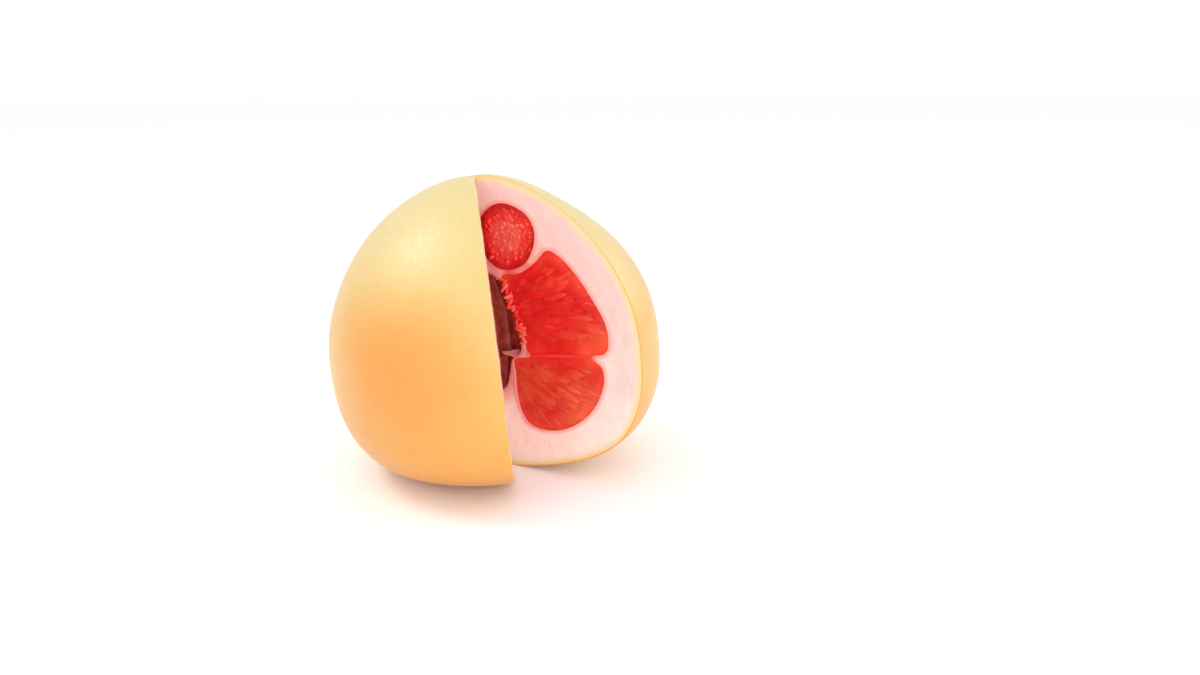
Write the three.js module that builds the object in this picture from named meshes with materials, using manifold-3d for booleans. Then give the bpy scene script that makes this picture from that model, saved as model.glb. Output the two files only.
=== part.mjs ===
// A pomelo standing on its own flattened base, with one wedge cut out of it from pole to pole.
// The cut shows the yellow rind, the thick pink pith, the red segments with their juice sacs,
// and the hollow core in the middle with a torn membrane across it.
//
// Millimetres, +Z up. Everything is first shaped in the fruit's own frame, whose Z axis is the
// line where the two cut faces meet, and then leaned over and set down on the surface.
// An azimuth is measured about that axis in degrees, from -Y towards +X. A point of a cut face
// is given as [distance from the axis, height].

import * as THREE from 'three';
import { mergeVertices } from 'three/addons/utils/BufferGeometryUtils.js';
import Module from 'manifold-3d';

const wasm = await Module();
wasm.setup();

const radians = THREE.MathUtils.degToRad;

// Outside of the fruit: half its outline as [distance from the axis, height], top to bottom.
const FRUIT_OUTLINE = [
  [0, 67], [13, 65.8], [27, 61.3], [41, 53.4], [54.5, 42.2], [66, 28], [74.5, 12], [79, -4],
  [80, -20], [78.5, -38], [73, -53], [63, -65], [48, -72.6], [30, -77], [14, -78.8], [0, -79.2],
];
const BODY_RINGS = 18;
const BODY_SIDES = 34;
const AXIS_CENTRE_HEIGHT = 78;
const LEAN_LEFT = radians(5.7);
const LEAN_BACK = radians(4.5);

// Unevenness of growth: a dropped shoulder and a slight swell all over.
const SHOULDER = { azimuth: 95, polar: 38, spread: 27, drop: 2.6 };
const SWELL = { height: 0.6, alongX: 3, alongY: 2, alongZ: 4, phase: 1 };

// The cut: the left face stands at WEDGE_FROM, the right face at WEDGE_TO.
const WEDGE_FROM = 1.5;
const WEDGE_TO = 55.5;
const WEDGE_REACH = 220;
const HALF_TURN = [0, 60, 120, 180];

// Layers and clearances.
const RIND_THICKNESS = 2;
const GAP = 0.3;
const GAP_AZIMUTH = 0.8;
const MEMBRANE = 1.5;

// Hollow core, as [radius, height], top to bottom.
const CORE_OUTLINE = [
  [0, 19.5], [4.5, 17.5], [7.5, 11], [10.5, 3], [13.5, -6], [15.5, -15], [14.5, -21],
  [9, -25], [6.5, -32], [4, -38], [0, -41],
];
const CORE_SIDES = 14;

// Torn membrane across the core: its outline as [azimuth, distance from the axis].
const FLAP_OUTLINE = [[56, 4.5], [56, 19], [77, 19], [77, 11.8], [66.5, 7.5]];
const FLAP_HEIGHT = -22.1;
const FLAP_THICKNESS = 1.3;

// The small round segment at the top, cut by both faces.
const UPPER = { azimuth: WEDGE_TO, distance: 13.6, height: 36.2, radius: 16.6, squash: 0.97 };
const UPPER_SIDES = 18;
const UPPER_RINGS = 12;
const UPPER_SECTION_POINTS = 20;
const UPPER_SEED = 3;

// Sections of the segments that a cut face shows.
const RIGHT_MAIN = [
  [8.2, 17.2], [19, 18.4], [28, 23], [35.5, 28.6], [42.5, 25.6], [50, 17.4], [57, 6.4], [62.6, -4.5],
  [64.2, -13], [61.4, -20.4], [50, -21.6], [34, -21.2], [18.6, -21], [16.9, -12], [13.6, -1.5], [10.8, 8],
];
const TORN_EDGE = [[8.6, 15.5], [10.8, 8], [13.6, -1.5], [15.9, -9.5], [17, -15.5]];
const RIGHT_LOWER = [
  [10.4, -24.2], [24, -23.2], [40, -23.4], [53, -24], [59.5, -28.6], [58, -38.5], [51.5, -48.5],
  [42.5, -55.4], [31.5, -59.4], [20.5, -59.2], [12.4, -55], [9, -44], [9.2, -32],
];
const LEFT_MAIN = [
  [10.4, 13], [19, 18.5], [28, 25], [36, 31], [44, 27.5], [52, 18], [59, 5.5], [63.5, -8],
  [63.5, -24], [58.5, -40], [49, -51.5], [36, -58.8], [22, -58.6], [13.4, -50], [10.6, -38],
  [13.5, -27.5], [18, -20], [17, -10], [14, 1],
];
const CUT_SEGMENTS = [
  { name: 'segment_right_main', section: RIGHT_MAIN, face: WEDGE_TO, turn: 1, origin: [0, -4], seed: 11 },
  { name: 'segment_right_lower', section: RIGHT_LOWER, face: WEDGE_TO, turn: 1, origin: [-4, -20], seed: 12 },
  { name: 'segment_left_main', section: LEFT_MAIN, face: 360 + WEDGE_FROM, turn: -1, origin: [-4, -12], seed: 13 },
];
const CUT_SEGMENT_DEPTH = 24;
const CUT_SEGMENT_START = 6;

// The ring of whole segments behind the cut; their inner edges line the hollow core.
const WHOLE = [
  [13.4, 10], [14.6, 27], [21, 43.5], [31, 47.5], [46, 37], [58, 18], [64, -6], [62, -29],
  [52, -48.5], [34, -60], [18.5, -57], [13.8, -41], [13.1, -24], [13.1, -8],
];
const WHOLE_COUNT = 8;
const WHOLE_APART = 0.7;
const RING_WALL = 2.5;
const RING_STEP = 8;
const RING_GAP = 0.5;

// How a segment narrows towards its sides: [share of its half width, scale of its section].
const SECTION_STATIONS = [[0, 1], [0.45, 0.975], [0.8, 0.86], [1, 0.5]];

// Juice sacs: spindles in rows on the cut faces, sunk into the flesh and pointing at the core.
const SAC = { length: 17, radius: 2.8, sides: 5, sunk: 1.7, margin: 1.2, smallest: 0.85, variety: 0.3 };
const SAC_PROFILE = [[0, -0.5], [0.8, -0.24], [1, 0.12], [0.62, 0.36], [0, 0.5]];
const SAC_ROWS = { from: 6.8, to: 95, along: 11.5, across: 5.1, stagger: 8.05, tilt: 0.16 };
const SAC_ROOTS = 12;
const SAC_RISE = 3;

// Tips of torn sacs on the edge of the right main segment, and the room that the pith leaves them.
const TIPS = { count: 9, seed: 31, length: 9, radius: 1.6, reach: 2.6, spread: 0.9, shallow: 0.6, deep: 2.2 };
const TIP_ROOM = { aside: 5, margin: 2.24, before: 6, behind: 22 };

// Stem end: a small corky disc in a seat of its own, a little behind the cut.
const STEM = { azimuth: 205, polar: 14, radius: 4.4, sunk: 1.1, dome: 1, sides: 16, seat: 9 };

const RIND = new THREE.MeshStandardMaterial({ name: 'rind', color: 0xf7cf78, roughness: 0.45 });
const PITH = new THREE.MeshStandardMaterial({ name: 'pith', color: 0xf7d2cb, roughness: 0.8 });
const PULP = new THREE.MeshStandardMaterial({ name: 'pulp', color: 0xd92c24, roughness: 0.3 });
const CORK = new THREE.MeshStandardMaterial({ name: 'cork', color: 0x8d7048, roughness: 0.9 });

// From the fruit's own frame to the surface that it stands on.
const standing = new THREE.Matrix4()
  .makeTranslation(0, 0, AXIS_CENTRE_HEIGHT)
  .multiply(new THREE.Matrix4().makeRotationY(-LEAN_LEFT))
  .multiply(new THREE.Matrix4().makeRotationX(-LEAN_BACK));

// A fixed sequence of draws from 0 to 1, so that every build is the same.
function makeDraw(seed) {
  let state = seed;
  return () => {
    state = (state * 1664525 + 1013904223) % 4294967296;
    return state / 4294967296;
  };
}

function at(azimuth, distance, height) {
  const angle = radians(azimuth);
  return new THREE.Vector3(distance * Math.sin(angle), -distance * Math.cos(angle), height);
}

function directionOf(azimuth, polar) {
  return at(azimuth, Math.sin(radians(polar)), Math.cos(radians(polar)));
}

function vectorsOf(pairs) {
  return pairs.map(([x, y]) => new THREE.Vector2(x, y));
}

// Closed three.js geometry to a solid: seams welded, and the empty triangles at the poles dropped.
function solidOf(geometry) {
  geometry.deleteAttribute('normal');
  geometry.deleteAttribute('uv');
  const welded = mergeVertices(geometry, 1e-4);
  const corners = welded.index.array;
  const triangles = [];
  for (let i = 0; i < corners.length; i += 3) {
    const [a, b, c] = corners.slice(i, i + 3);
    if (a !== b && b !== c && c !== a) triangles.push(a, b, c);
  }
  return new wasm.Manifold(new wasm.Mesh({
    numProp: 3,
    vertProperties: new Float32Array(welded.attributes.position.array),
    triVerts: new Uint32Array(triangles),
  }));
}

function leaned(geometry) {
  return solidOf(geometry.applyMatrix4(standing));
}

function meshOf(name, solid, material) {
  const data = solid.getMesh();
  const geometry = new THREE.BufferGeometry();
  geometry.setAttribute('position', new THREE.BufferAttribute(new Float32Array(data.vertProperties), 3));
  geometry.setIndex(new THREE.BufferAttribute(new Uint32Array(data.triVerts), 1));
  const mesh = new THREE.Mesh(geometry, material);
  mesh.name = name;
  return mesh;
}

// How far the grown fruit stands off a true body of revolution, in one direction.
function unevenness(direction) {
  const shoulder = directionOf(SHOULDER.azimuth, SHOULDER.polar);
  const away = direction.angleTo(shoulder) / radians(SHOULDER.spread);
  const across = Math.sin(SWELL.alongX * direction.x + SWELL.alongY * direction.y);
  const upward = Math.cos(SWELL.alongZ * direction.z + SWELL.phase);
  return SWELL.height * across * upward - SHOULDER.drop * Math.exp(-away * away);
}

// The whole fruit, shrunk by an inset, leaning, and flat where it meets the surface.
function bodySolid(inset) {
  const curve = new THREE.SplineCurve(vectorsOf(FRUIT_OUTLINE));
  const profile = [];
  for (let ring = 0; ring <= BODY_RINGS; ring += 1) {
    const share = ring / BODY_RINGS;
    const point = curve.getPointAt(share);
    const along = curve.getTangentAt(share);
    const pole = ring === 0 || ring === BODY_RINGS;
    profile.push(new THREE.Vector2(
      pole ? 0 : point.x + along.y * inset,
      point.y - (pole ? Math.sign(point.y) : along.x) * inset,
    ));
  }
  const geometry = new THREE.LatheGeometry(profile.reverse(), BODY_SIDES);
  geometry.rotateX(Math.PI / 2);
  const position = geometry.attributes.position;
  const vertex = new THREE.Vector3();
  for (let i = 0; i < position.count; i += 1) {
    vertex.fromBufferAttribute(position, i);
    const direction = vertex.clone().normalize();
    vertex.addScaledVector(direction, unevenness(direction)).applyMatrix4(standing);
    position.setXYZ(i, vertex.x, vertex.y, Math.max(vertex.z, inset));
  }
  return solidOf(geometry);
}

// An upright prism on an outline given as points in the plane, between two heights.
function prismSolid(corners, bottom, top) {
  const shape = new THREE.Shape(corners.map((corner) => new THREE.Vector2(corner.x, corner.y)));
  const geometry = new THREE.ExtrudeGeometry(shape, { depth: top - bottom, bevelEnabled: false });
  return leaned(geometry.translate(0, 0, bottom));
}

// The space between the two cut faces, without end.
function wedgeSolid() {
  const corners = [at(0, 0, 0), at(WEDGE_FROM, WEDGE_REACH, 0), at(WEDGE_TO, WEDGE_REACH, 0)];
  return prismSolid(corners, -WEDGE_REACH, WEDGE_REACH);
}

// All that lies on one side of the plane that halves the cut, on the side that azimuth grows to.
function halfSolid(azimuth) {
  const side = at(azimuth + 90, GAP / 2, 0);
  const corners = HALF_TURN.map((turn) => at(azimuth + turn, WEDGE_REACH, 0).add(side));
  return prismSolid(corners, -WEDGE_REACH, WEDGE_REACH);
}

function flapSolid() {
  const corners = FLAP_OUTLINE.map(([azimuth, distance]) => at(azimuth, distance, 0));
  return prismSolid(corners, FLAP_HEIGHT - FLAP_THICKNESS / 2, FLAP_HEIGHT + FLAP_THICKNESS / 2);
}

function coreSolid() {
  const profile = vectorsOf(CORE_OUTLINE).reverse();
  return leaned(new THREE.LatheGeometry(profile, CORE_SIDES).rotateX(Math.PI / 2));
}

// The round top segment, grown all round by some distance.
function upperSolid(extra) {
  const geometry = new THREE.SphereGeometry(UPPER.radius + extra, UPPER_SIDES, UPPER_RINGS);
  geometry.rotateX(Math.PI / 2).scale(1, 1, UPPER.squash);
  const centre = at(UPPER.azimuth, UPPER.distance, UPPER.height);
  return leaned(geometry.translate(centre.x, centre.y, centre.z));
}

// The outline of the round top segment on the right face.
function upperSection() {
  return Array.from({ length: UPPER_SECTION_POINTS }, (_, i) => {
    const angle = -i / UPPER_SECTION_POINTS * 2 * Math.PI;
    return [
      UPPER.distance + Math.cos(angle) * UPPER.radius,
      UPPER.height + Math.sin(angle) * UPPER.radius * UPPER.squash,
    ];
  });
}

// A closed section moved outwards everywhere by the same distance.
function grown(section, distance) {
  return section.map(([u, v], i) => {
    const [fromU, fromV] = section[(i + section.length - 1) % section.length];
    const [toU, toV] = section[(i + 1) % section.length];
    const length = Math.hypot(toU - fromU, toV - fromV);
    return [u - (toV - fromV) / length * distance, v + (toU - fromU) / length * distance];
  });
}

function middleOf(section) {
  const sum = section.reduce(([u, v], [nextU, nextV]) => [u + nextU, v + nextV], [0, 0]);
  return sum.map((value) => value / section.length);
}

// A section carried round the axis through stations of [azimuth, scale about its middle].
function sweepSolid(section, stations) {
  const [middleU, middleV] = middleOf(section);
  const count = section.length;
  const points = stations.flatMap(([azimuth, scale]) => section.map(([u, v]) => (
    at(azimuth, middleU + (u - middleU) * scale, middleV + (v - middleV) * scale))));
  const triangles = [];
  for (let row = 0; row < stations.length - 1; row += 1) {
    for (let i = 0; i < count; i += 1) {
      const a = row * count + i;
      const b = row * count + (i + 1) % count;
      triangles.push(a, b, a + count, b, b + count, a + count);
    }
  }
  const last = (stations.length - 1) * count;
  for (const [a, b, c] of THREE.ShapeUtils.triangulateShape(vectorsOf(section), [])) {
    triangles.push(a, b, c, last + a, last + c, last + b);
  }
  const geometry = new THREE.BufferGeometry().setFromPoints(points);
  geometry.setIndex(triangles);
  return leaned(geometry);
}

// Stations of a cut segment: it starts inside the removed wedge and closes behind the face.
function cutStations(face, turn, extra) {
  const before = [face - turn * CUT_SEGMENT_START, 1];
  const behind = SECTION_STATIONS.map(([share, scale]) => (
    [face + turn * (CUT_SEGMENT_DEPTH + extra) * share, scale]));
  const stations = [before, ...behind];
  return turn > 0 ? stations : stations.reverse();
}

// Stations of a whole segment, narrowing to both sides of its middle.
function wholeStations(middle, halfWidth) {
  const half = SECTION_STATIONS.slice(1).map(([share, scale]) => [share * halfWidth, scale]);
  const before = half.map(([offset, scale]) => [middle - offset, scale]).reverse();
  return [...before, ...half.map(([offset, scale]) => [middle + offset, scale])];
}

// Stations of the room for the whole ring, which narrows only behind its first and last segments.
function ringStations(from, to, halfWidth) {
  const narrow = SECTION_STATIONS.slice(1).map(([share, scale]) => [(1 - share) * halfWidth, scale]);
  const steps = Math.ceil((to - from - 2 * halfWidth) / RING_STEP);
  const full = Array.from({ length: steps + 1 }, (_, i) => (
    [THREE.MathUtils.lerp(from + halfWidth, to - halfWidth, i / steps), 1]));
  const first = narrow.map(([offset, scale]) => [from + offset, scale]).reverse();
  const last = narrow.map(([offset, scale]) => [to - offset, scale]);
  return [...first, ...full, ...last];
}

// True where a point lies inside a section, at least a margin away from its edge.
function isInside(section, u, v, margin) {
  let inside = false;
  let nearest = Infinity;
  section.forEach(([fromU, fromV], i) => {
    const [toU, toV] = section[(i + 1) % section.length];
    if ((fromV > v) !== (toV > v)) {
      const crossing = fromU + (v - fromV) / (toV - fromV) * (toU - fromU);
      if (u < crossing) inside = !inside;
    }
    const [du, dv] = [toU - fromU, toV - fromV];
    const share = THREE.MathUtils.clamp(((u - fromU) * du + (v - fromV) * dv) / (du * du + dv * dv), 0, 1);
    nearest = Math.min(nearest, Math.hypot(u - fromU - share * du, v - fromV - share * dv));
  });
  return inside && nearest > margin;
}

// One juice sac on the face at an azimuth, from its middle and its direction on that face.
function sacSolid(azimuth, turn, u, v, heading, length, radius, sunk) {
  const profile = vectorsOf(SAC_PROFILE.map(([across, along]) => [across * radius, along * length]));
  const geometry = new THREE.LatheGeometry(profile, SAC.sides);
  const outward = at(azimuth, 1, 0);
  const up = new THREE.Vector3(0, 0, 1);
  const intoCut = outward.clone().cross(up).multiplyScalar(turn);
  const along = outward.clone().multiplyScalar(Math.cos(heading)).addScaledVector(up, Math.sin(heading));
  const across = along.clone().cross(intoCut);
  const centre = at(azimuth, u, v).addScaledVector(intoCut, -sunk);
  geometry.applyMatrix4(new THREE.Matrix4().makeBasis(across, along, intoCut).setPosition(centre));
  return leaned(geometry);
}

// Juice sacs in rows over a section, fanned out from a point on the core and cut off at its edge.
function sacsOver({ section, face, turn, origin: [originU, originV], seed }) {
  const draw = makeDraw(seed);
  let field = null;
  for (let row = SAC_ROWS.from; row < SAC_ROWS.to; row += SAC_ROWS.along) {
    const step = SAC_ROWS.across / row;
    const start = draw() * step;
    for (let heading = start - Math.PI; heading < Math.PI; heading += step) {
      const distance = row + (draw() - 0.5) * SAC_ROWS.stagger;
      const tilt = heading + (draw() - 0.5) * SAC_ROWS.tilt;
      const size = SAC.smallest + SAC.variety * draw();
      const [u, v] = [originU + Math.cos(heading) * distance, originV + Math.sin(heading) * distance];
      if (isInside(section, u, v, SAC.margin)) {
        const sac = sacSolid(face, turn, u, v, tilt, SAC.length * size, SAC.radius * size, SAC.sunk);
        field = field ? field.add(sac) : sac;
      }
    }
  }
  const around = [face - turn * SAC_ROOTS, face + turn * SAC_RISE].sort((a, b) => a - b);
  return field.intersect(sweepSolid(grown(section, -GAP), around.map((azimuth) => [azimuth, 1])));
}

// Tips of torn sacs along the inner edge of the main segment, reaching into the hollow core.
function tornTips(azimuth) {
  const draw = makeDraw(TIPS.seed);
  const path = new THREE.SplineCurve(vectorsOf(TORN_EDGE));
  return Array.from({ length: TIPS.count }, (_, i) => {
    const point = path.getPoint((i + 0.3 + 0.4 * draw()) / TIPS.count);
    const heading = Math.PI + (draw() - 0.5) * TIPS.spread;
    const inward = TIPS.length / 2 - TIPS.reach * (0.7 + 0.6 * draw());
    const depth = THREE.MathUtils.lerp(TIPS.shallow, TIPS.deep, draw());
    const radius = TIPS.radius * (0.8 + 0.4 * draw());
    return sacSolid(azimuth, 1, point.x + inward, point.y, heading, TIPS.length, radius, depth);
  });
}

function tipRoom(azimuth) {
  const inner = TORN_EDGE.map(([u, v]) => [u - TIP_ROOM.aside, v]).reverse();
  const outer = TORN_EDGE.map(([u, v]) => [u + TIP_ROOM.aside, v]);
  const section = grown([...outer, ...inner], TIP_ROOM.margin);
  return sweepSolid(section, [[azimuth - TIP_ROOM.before, 1], [azimuth + TIP_ROOM.behind, 1]]);
}

// Distance from the fruit's middle to its outline in the direction of the stem.
function stemDistance() {
  const slope = Math.tan(radians(STEM.polar));
  const after = FRUIT_OUTLINE.findIndex(([rho, z]) => rho > z * slope);
  const [fromRho, fromZ] = FRUIT_OUTLINE[after - 1];
  const [toRho, toZ] = FRUIT_OUTLINE[after];
  const share = (fromZ * slope - fromRho) / (toRho - fromRho - (toZ - fromZ) * slope);
  return Math.hypot(THREE.MathUtils.lerp(fromRho, toRho, share), THREE.MathUtils.lerp(fromZ, toZ, share));
}

// A turned solid on the fruit's skin at the stem end, from [radius, height above the skin].
function stemSolid(profile) {
  const outward = directionOf(STEM.azimuth, STEM.polar);
  const turn = new THREE.Quaternion().setFromUnitVectors(new THREE.Vector3(0, 1, 0), outward);
  const foot = outward.clone().multiplyScalar(stemDistance());
  const place = new THREE.Matrix4().compose(foot, turn, new THREE.Vector3(1, 1, 1));
  return leaned(new THREE.LatheGeometry(vectorsOf(profile), STEM.sides).applyMatrix4(place));
}

function scarSolid() {
  const { radius, sunk, dome } = STEM;
  return stemSolid([[0, -sunk], [radius, -sunk], [radius, dome * 0.4], [radius * 0.6, dome], [0, dome * 0.7]]);
}

function seatSolid() {
  const [radius, bottom] = [STEM.radius + GAP, -STEM.sunk - GAP];
  return stemSolid([[0, bottom], [radius, bottom], [radius, STEM.seat], [0, STEM.seat]]);
}

const wedge = wedgeSolid();
const rind = bodySolid(0).subtract(bodySolid(RIND_THICKNESS)).subtract(wedge).subtract(seatSolid());

// Each segment, and the pocket that the pith leaves for it.
const segments = new Map();
const pockets = [upperSolid(GAP), tipRoom(WEDGE_TO)];

const upperField = { section: upperSection(), face: WEDGE_TO, turn: 1, seed: UPPER_SEED };
const upperSacs = sacsOver({ ...upperField, origin: [UPPER.distance, UPPER.height] });
segments.set('segment_upper', upperSolid(0).subtract(wedge).add(upperSacs));

for (const segment of CUT_SEGMENTS) {
  const { name, section, face, turn } = segment;
  const body = sweepSolid(section, cutStations(face, turn, 0)).subtract(wedge);
  segments.set(name, body.add(sacsOver(segment)));
  pockets.push(sweepSolid(grown(section, GAP), cutStations(face, turn, GAP_AZIMUTH)));
}
for (const tip of tornTips(WEDGE_TO)) {
  segments.set('segment_right_main', segments.get('segment_right_main').add(tip));
}

const ringFrom = WEDGE_TO + CUT_SEGMENT_DEPTH + RING_WALL;
const ringTo = 360 + WEDGE_FROM - CUT_SEGMENT_DEPTH - RING_WALL;
const pitch = (ringTo - ringFrom) / WHOLE_COUNT;
const halfWidth = pitch / 2 - WHOLE_APART;
for (let i = 0; i < WHOLE_COUNT; i += 1) {
  const body = sweepSolid(WHOLE, wholeStations(ringFrom + pitch * (i + 0.5), halfWidth));
  segments.set(`segment_whole_${i + 1}`, body.subtract(upperSolid(MEMBRANE + 2 * GAP)));
}
const ringRoom = sweepSolid(grown(WHOLE, RING_GAP), ringStations(ringFrom, ringTo, halfWidth));
pockets.push(ringRoom.subtract(upperSolid(MEMBRANE + GAP)));

// The pith is in two halves, which meet opposite the cut.
let pith = bodySolid(RIND_THICKNESS + GAP).subtract(wedge);
for (const pocket of pockets) pith = pith.subtract(pocket);
pith = pith.subtract(coreSolid()).add(flapSolid().subtract(wedge));
const halving = (WEDGE_FROM + WEDGE_TO) / 2;

const pomelo = new THREE.Group();
pomelo.add(meshOf('rind', rind, RIND));
pomelo.add(meshOf('pith_right', pith.intersect(halfSolid(halving)), PITH));
pomelo.add(meshOf('pith_left', pith.intersect(halfSolid(halving + 180)), PITH));
pomelo.add(meshOf('stem_scar', scarSolid(), CORK));
for (const [name, solid] of segments) pomelo.add(meshOf(name, solid, PULP));

// The middle of the fruit's box goes over the origin.
const box = new THREE.Box3().setFromObject(pomelo);
pomelo.position.set(-(box.min.x + box.max.x) / 2, -(box.min.y + box.max.y) / 2, 0);

export default pomelo;
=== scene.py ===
"""The looks of a pomelo with one deep cut in it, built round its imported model.

Sizes are in millimetres and angles in degrees. The fruit is shaped in its own frame, whose Z axis is
the line where the two cut faces meet, with azimuths measured from -Y towards +X. It is then leaned
over, flattened where it stands and written into each mesh in metres.
"""

from __future__ import annotations

import logging
import math
from dataclasses import dataclass, replace
from enum import Enum
from functools import cached_property
from typing import Sequence

import bmesh
import bpy
import numpy as np
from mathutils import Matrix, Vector
from mathutils.geometry import delaunay_2d_cdt
from mathutils.kdtree import KDTree


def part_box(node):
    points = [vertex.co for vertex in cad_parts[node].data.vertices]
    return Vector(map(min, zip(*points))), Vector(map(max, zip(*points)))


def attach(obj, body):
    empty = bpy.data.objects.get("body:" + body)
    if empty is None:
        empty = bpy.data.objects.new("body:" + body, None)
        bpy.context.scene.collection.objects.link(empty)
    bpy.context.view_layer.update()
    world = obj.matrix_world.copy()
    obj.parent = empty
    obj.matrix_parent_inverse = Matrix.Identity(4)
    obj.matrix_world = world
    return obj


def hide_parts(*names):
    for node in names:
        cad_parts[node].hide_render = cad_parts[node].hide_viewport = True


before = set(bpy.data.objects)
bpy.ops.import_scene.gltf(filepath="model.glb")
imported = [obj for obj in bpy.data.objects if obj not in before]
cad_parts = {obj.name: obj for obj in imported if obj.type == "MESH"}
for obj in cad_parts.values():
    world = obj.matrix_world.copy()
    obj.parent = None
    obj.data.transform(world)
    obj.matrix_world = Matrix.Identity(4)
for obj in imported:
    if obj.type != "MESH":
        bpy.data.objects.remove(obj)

LOG = logging.getLogger("pomelo")
MM = 0.001
BODY = "root"
PITH_NODES = ("pith_right", "pith_left")
IMAGE_WIDTH, IMAGE_HEIGHT = 1200, 675
UP = np.array([0.0, 0.0, 1.0])

SHARP_FROM = 55.0      # An edge is sharp where its faces turn by more than this.
NO_FLOOR = -50.0       # A floor that the cut faces' pieces never reach.
AT_AXIS = 0.05         # A point nearer to the axis than this is on it.
AXIS_SLACK = 1e-6
CURVE_STEPS = 24       # How finely a curve is drawn between two of its knots.
FAR_FROM_SKIN = 20.0   # What a piece inside the fruit gives as its distance from the rind.
PINKEST = 0.3          # The distance from the flesh up to which the pith is at its pinkest.
PAINTED_MIDDLE_LIGHT_REACH = 9.0       # How far in from a segment's edge its painted light, lighter towards the middle, grows to full strength.
WELD_WITHIN = 1e-6     # Points of a finished mesh nearer than this, in metres, are one.

Points = np.ndarray
Outline = Sequence[tuple[float, float]]
Place = tuple[float, float, float]
Colour = tuple[float, float, float]
Band = tuple[float, float]
Socket = bpy.types.NodeSocket


class Side(Enum):
    """The two cut faces: the way that azimuth grows going into the fruit behind each."""

    LEFT = -1
    RIGHT = 1


def smooth_path(points: Outline, count: int, closed: bool = False) -> Points:
    """Lays a Catmull-Rom curve through points and spaces new points evenly along it.

    Args:
        points: the points that the curve passes through.
        count: how many points to return.
        closed: whether the curve returns to its first point.

    Returns:
        An array of count points, without the repeated end where closed.
    """
    knots = np.asarray(points, float)
    if closed:
        padded = np.vstack([knots[-1:], knots, knots[:2]])
    else:
        padded = np.vstack([knots[:1], knots, knots[-1:]])
    spans = len(padded) - 3
    t = np.linspace(0, spans, spans * CURVE_STEPS + 1)
    index = np.minimum(t.astype(int), spans - 1)
    w = (t - index)[:, None]
    p0, p1, p2, p3 = (padded[index + k] for k in range(4))
    curve = 0.5 * (2 * p1 + (p2 - p0) * w + (2 * p0 - 5 * p1 + 4 * p2 - p3) * w**2
                   + (3 * p1 - p0 - 3 * p2 + p3) * w**3)
    length = np.concatenate([[0], np.cumsum(np.linalg.norm(np.diff(curve, axis=0), axis=1))])
    stops = np.linspace(0, length[-1], count + 1 if closed else count)
    spaced = np.column_stack([np.interp(stops, length, curve[:, k]) for k in range(2)])
    return spaced[:-1] if closed else spaced


def inside(points: Points, outline: Points) -> np.ndarray:
    """Tells which points lie inside a closed outline.

    Args:
        points: the points to test, one to a row.
        outline: the outline's corners in order.

    Returns:
        One truth value for each point.
    """
    x, y = points[:, 0:1], points[:, 1:2]
    ax, ay = outline[:, 0], outline[:, 1]
    bx, by = np.roll(ax, -1), np.roll(ay, -1)
    spans = (ay > y) != (by > y)
    with np.errstate(divide="ignore", invalid="ignore"):
        crossing = ax + (y - ay) / (by - ay) * (bx - ax)
    return (spans & (x < crossing)).sum(axis=1) % 2 == 1


def distance_to(points: Points, lines: Sequence[Points]) -> np.ndarray:
    """Measures how far points are from the nearest of some finely drawn lines.

    Args:
        points: the points to measure from.
        lines: the lines, each as closely spaced points.

    Returns:
        One distance for each point.
    """
    marks = np.vstack([line[:, :2] for line in lines])
    tree = KDTree(len(marks))
    for number, (x, y) in enumerate(marks):
        tree.insert((x, y, 0), number)
    tree.balance()
    return np.array([tree.find((x, y, 0))[2] for x, y in points[:, :2]])


def ripple(points: Points, wavelength: float, seed: int, waves: int = 9) -> np.ndarray:
    """Adds sine waves in drawn directions, for soft unevenness.

    Args:
        points: the places, in two or three dimensions.
        wavelength: the waves' mean length.
        seed: what fixes the draw.
        waves: how many waves are added.

    Returns:
        Heights of about -1 to 1, one for each point.
    """
    draw = np.random.default_rng(seed)
    heading = draw.normal(size=(waves, points.shape[1]))
    heading /= np.linalg.norm(heading, axis=1)[:, None]
    pace = 2 * math.pi / (wavelength * draw.uniform(0.6, 1.7, waves))
    phase = draw.uniform(0, 2 * math.pi, waves)
    return np.sin(points @ (heading * pace[:, None]).T + phase).sum(axis=1) / math.sqrt(waves) / 1.4


def quads(number: np.ndarray, flipped: bool = False) -> np.ndarray:
    """Joins a grid of point numbers into four-sided faces.

    Args:
        number: the point numbers by row and column.
        flipped: whether the faces point the other way.

    Returns:
        One face to a row.
    """
    corners = [number[:-1, :-1], number[:-1, 1:], number[1:, 1:], number[1:, :-1]]
    if flipped:
        corners[1:] = corners[:0:-1]
    return np.column_stack([corner.ravel() for corner in corners])


def axes_at(azimuth: float) -> tuple[Points, Points]:
    """Gives the level directions out from the axis at an azimuth, and on round it."""
    sine, cosine = math.sin(math.radians(azimuth)), math.cos(math.radians(azimuth))
    return np.array([sine, -cosine, 0.0]), np.array([cosine, sine, 0.0])


def along_outline(profile: Points) -> Points:
    """Gives the unit direction of a line at each of its points."""
    along = np.gradient(profile, axis=0)
    return along / np.linalg.norm(along, axis=1)[:, None]


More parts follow.
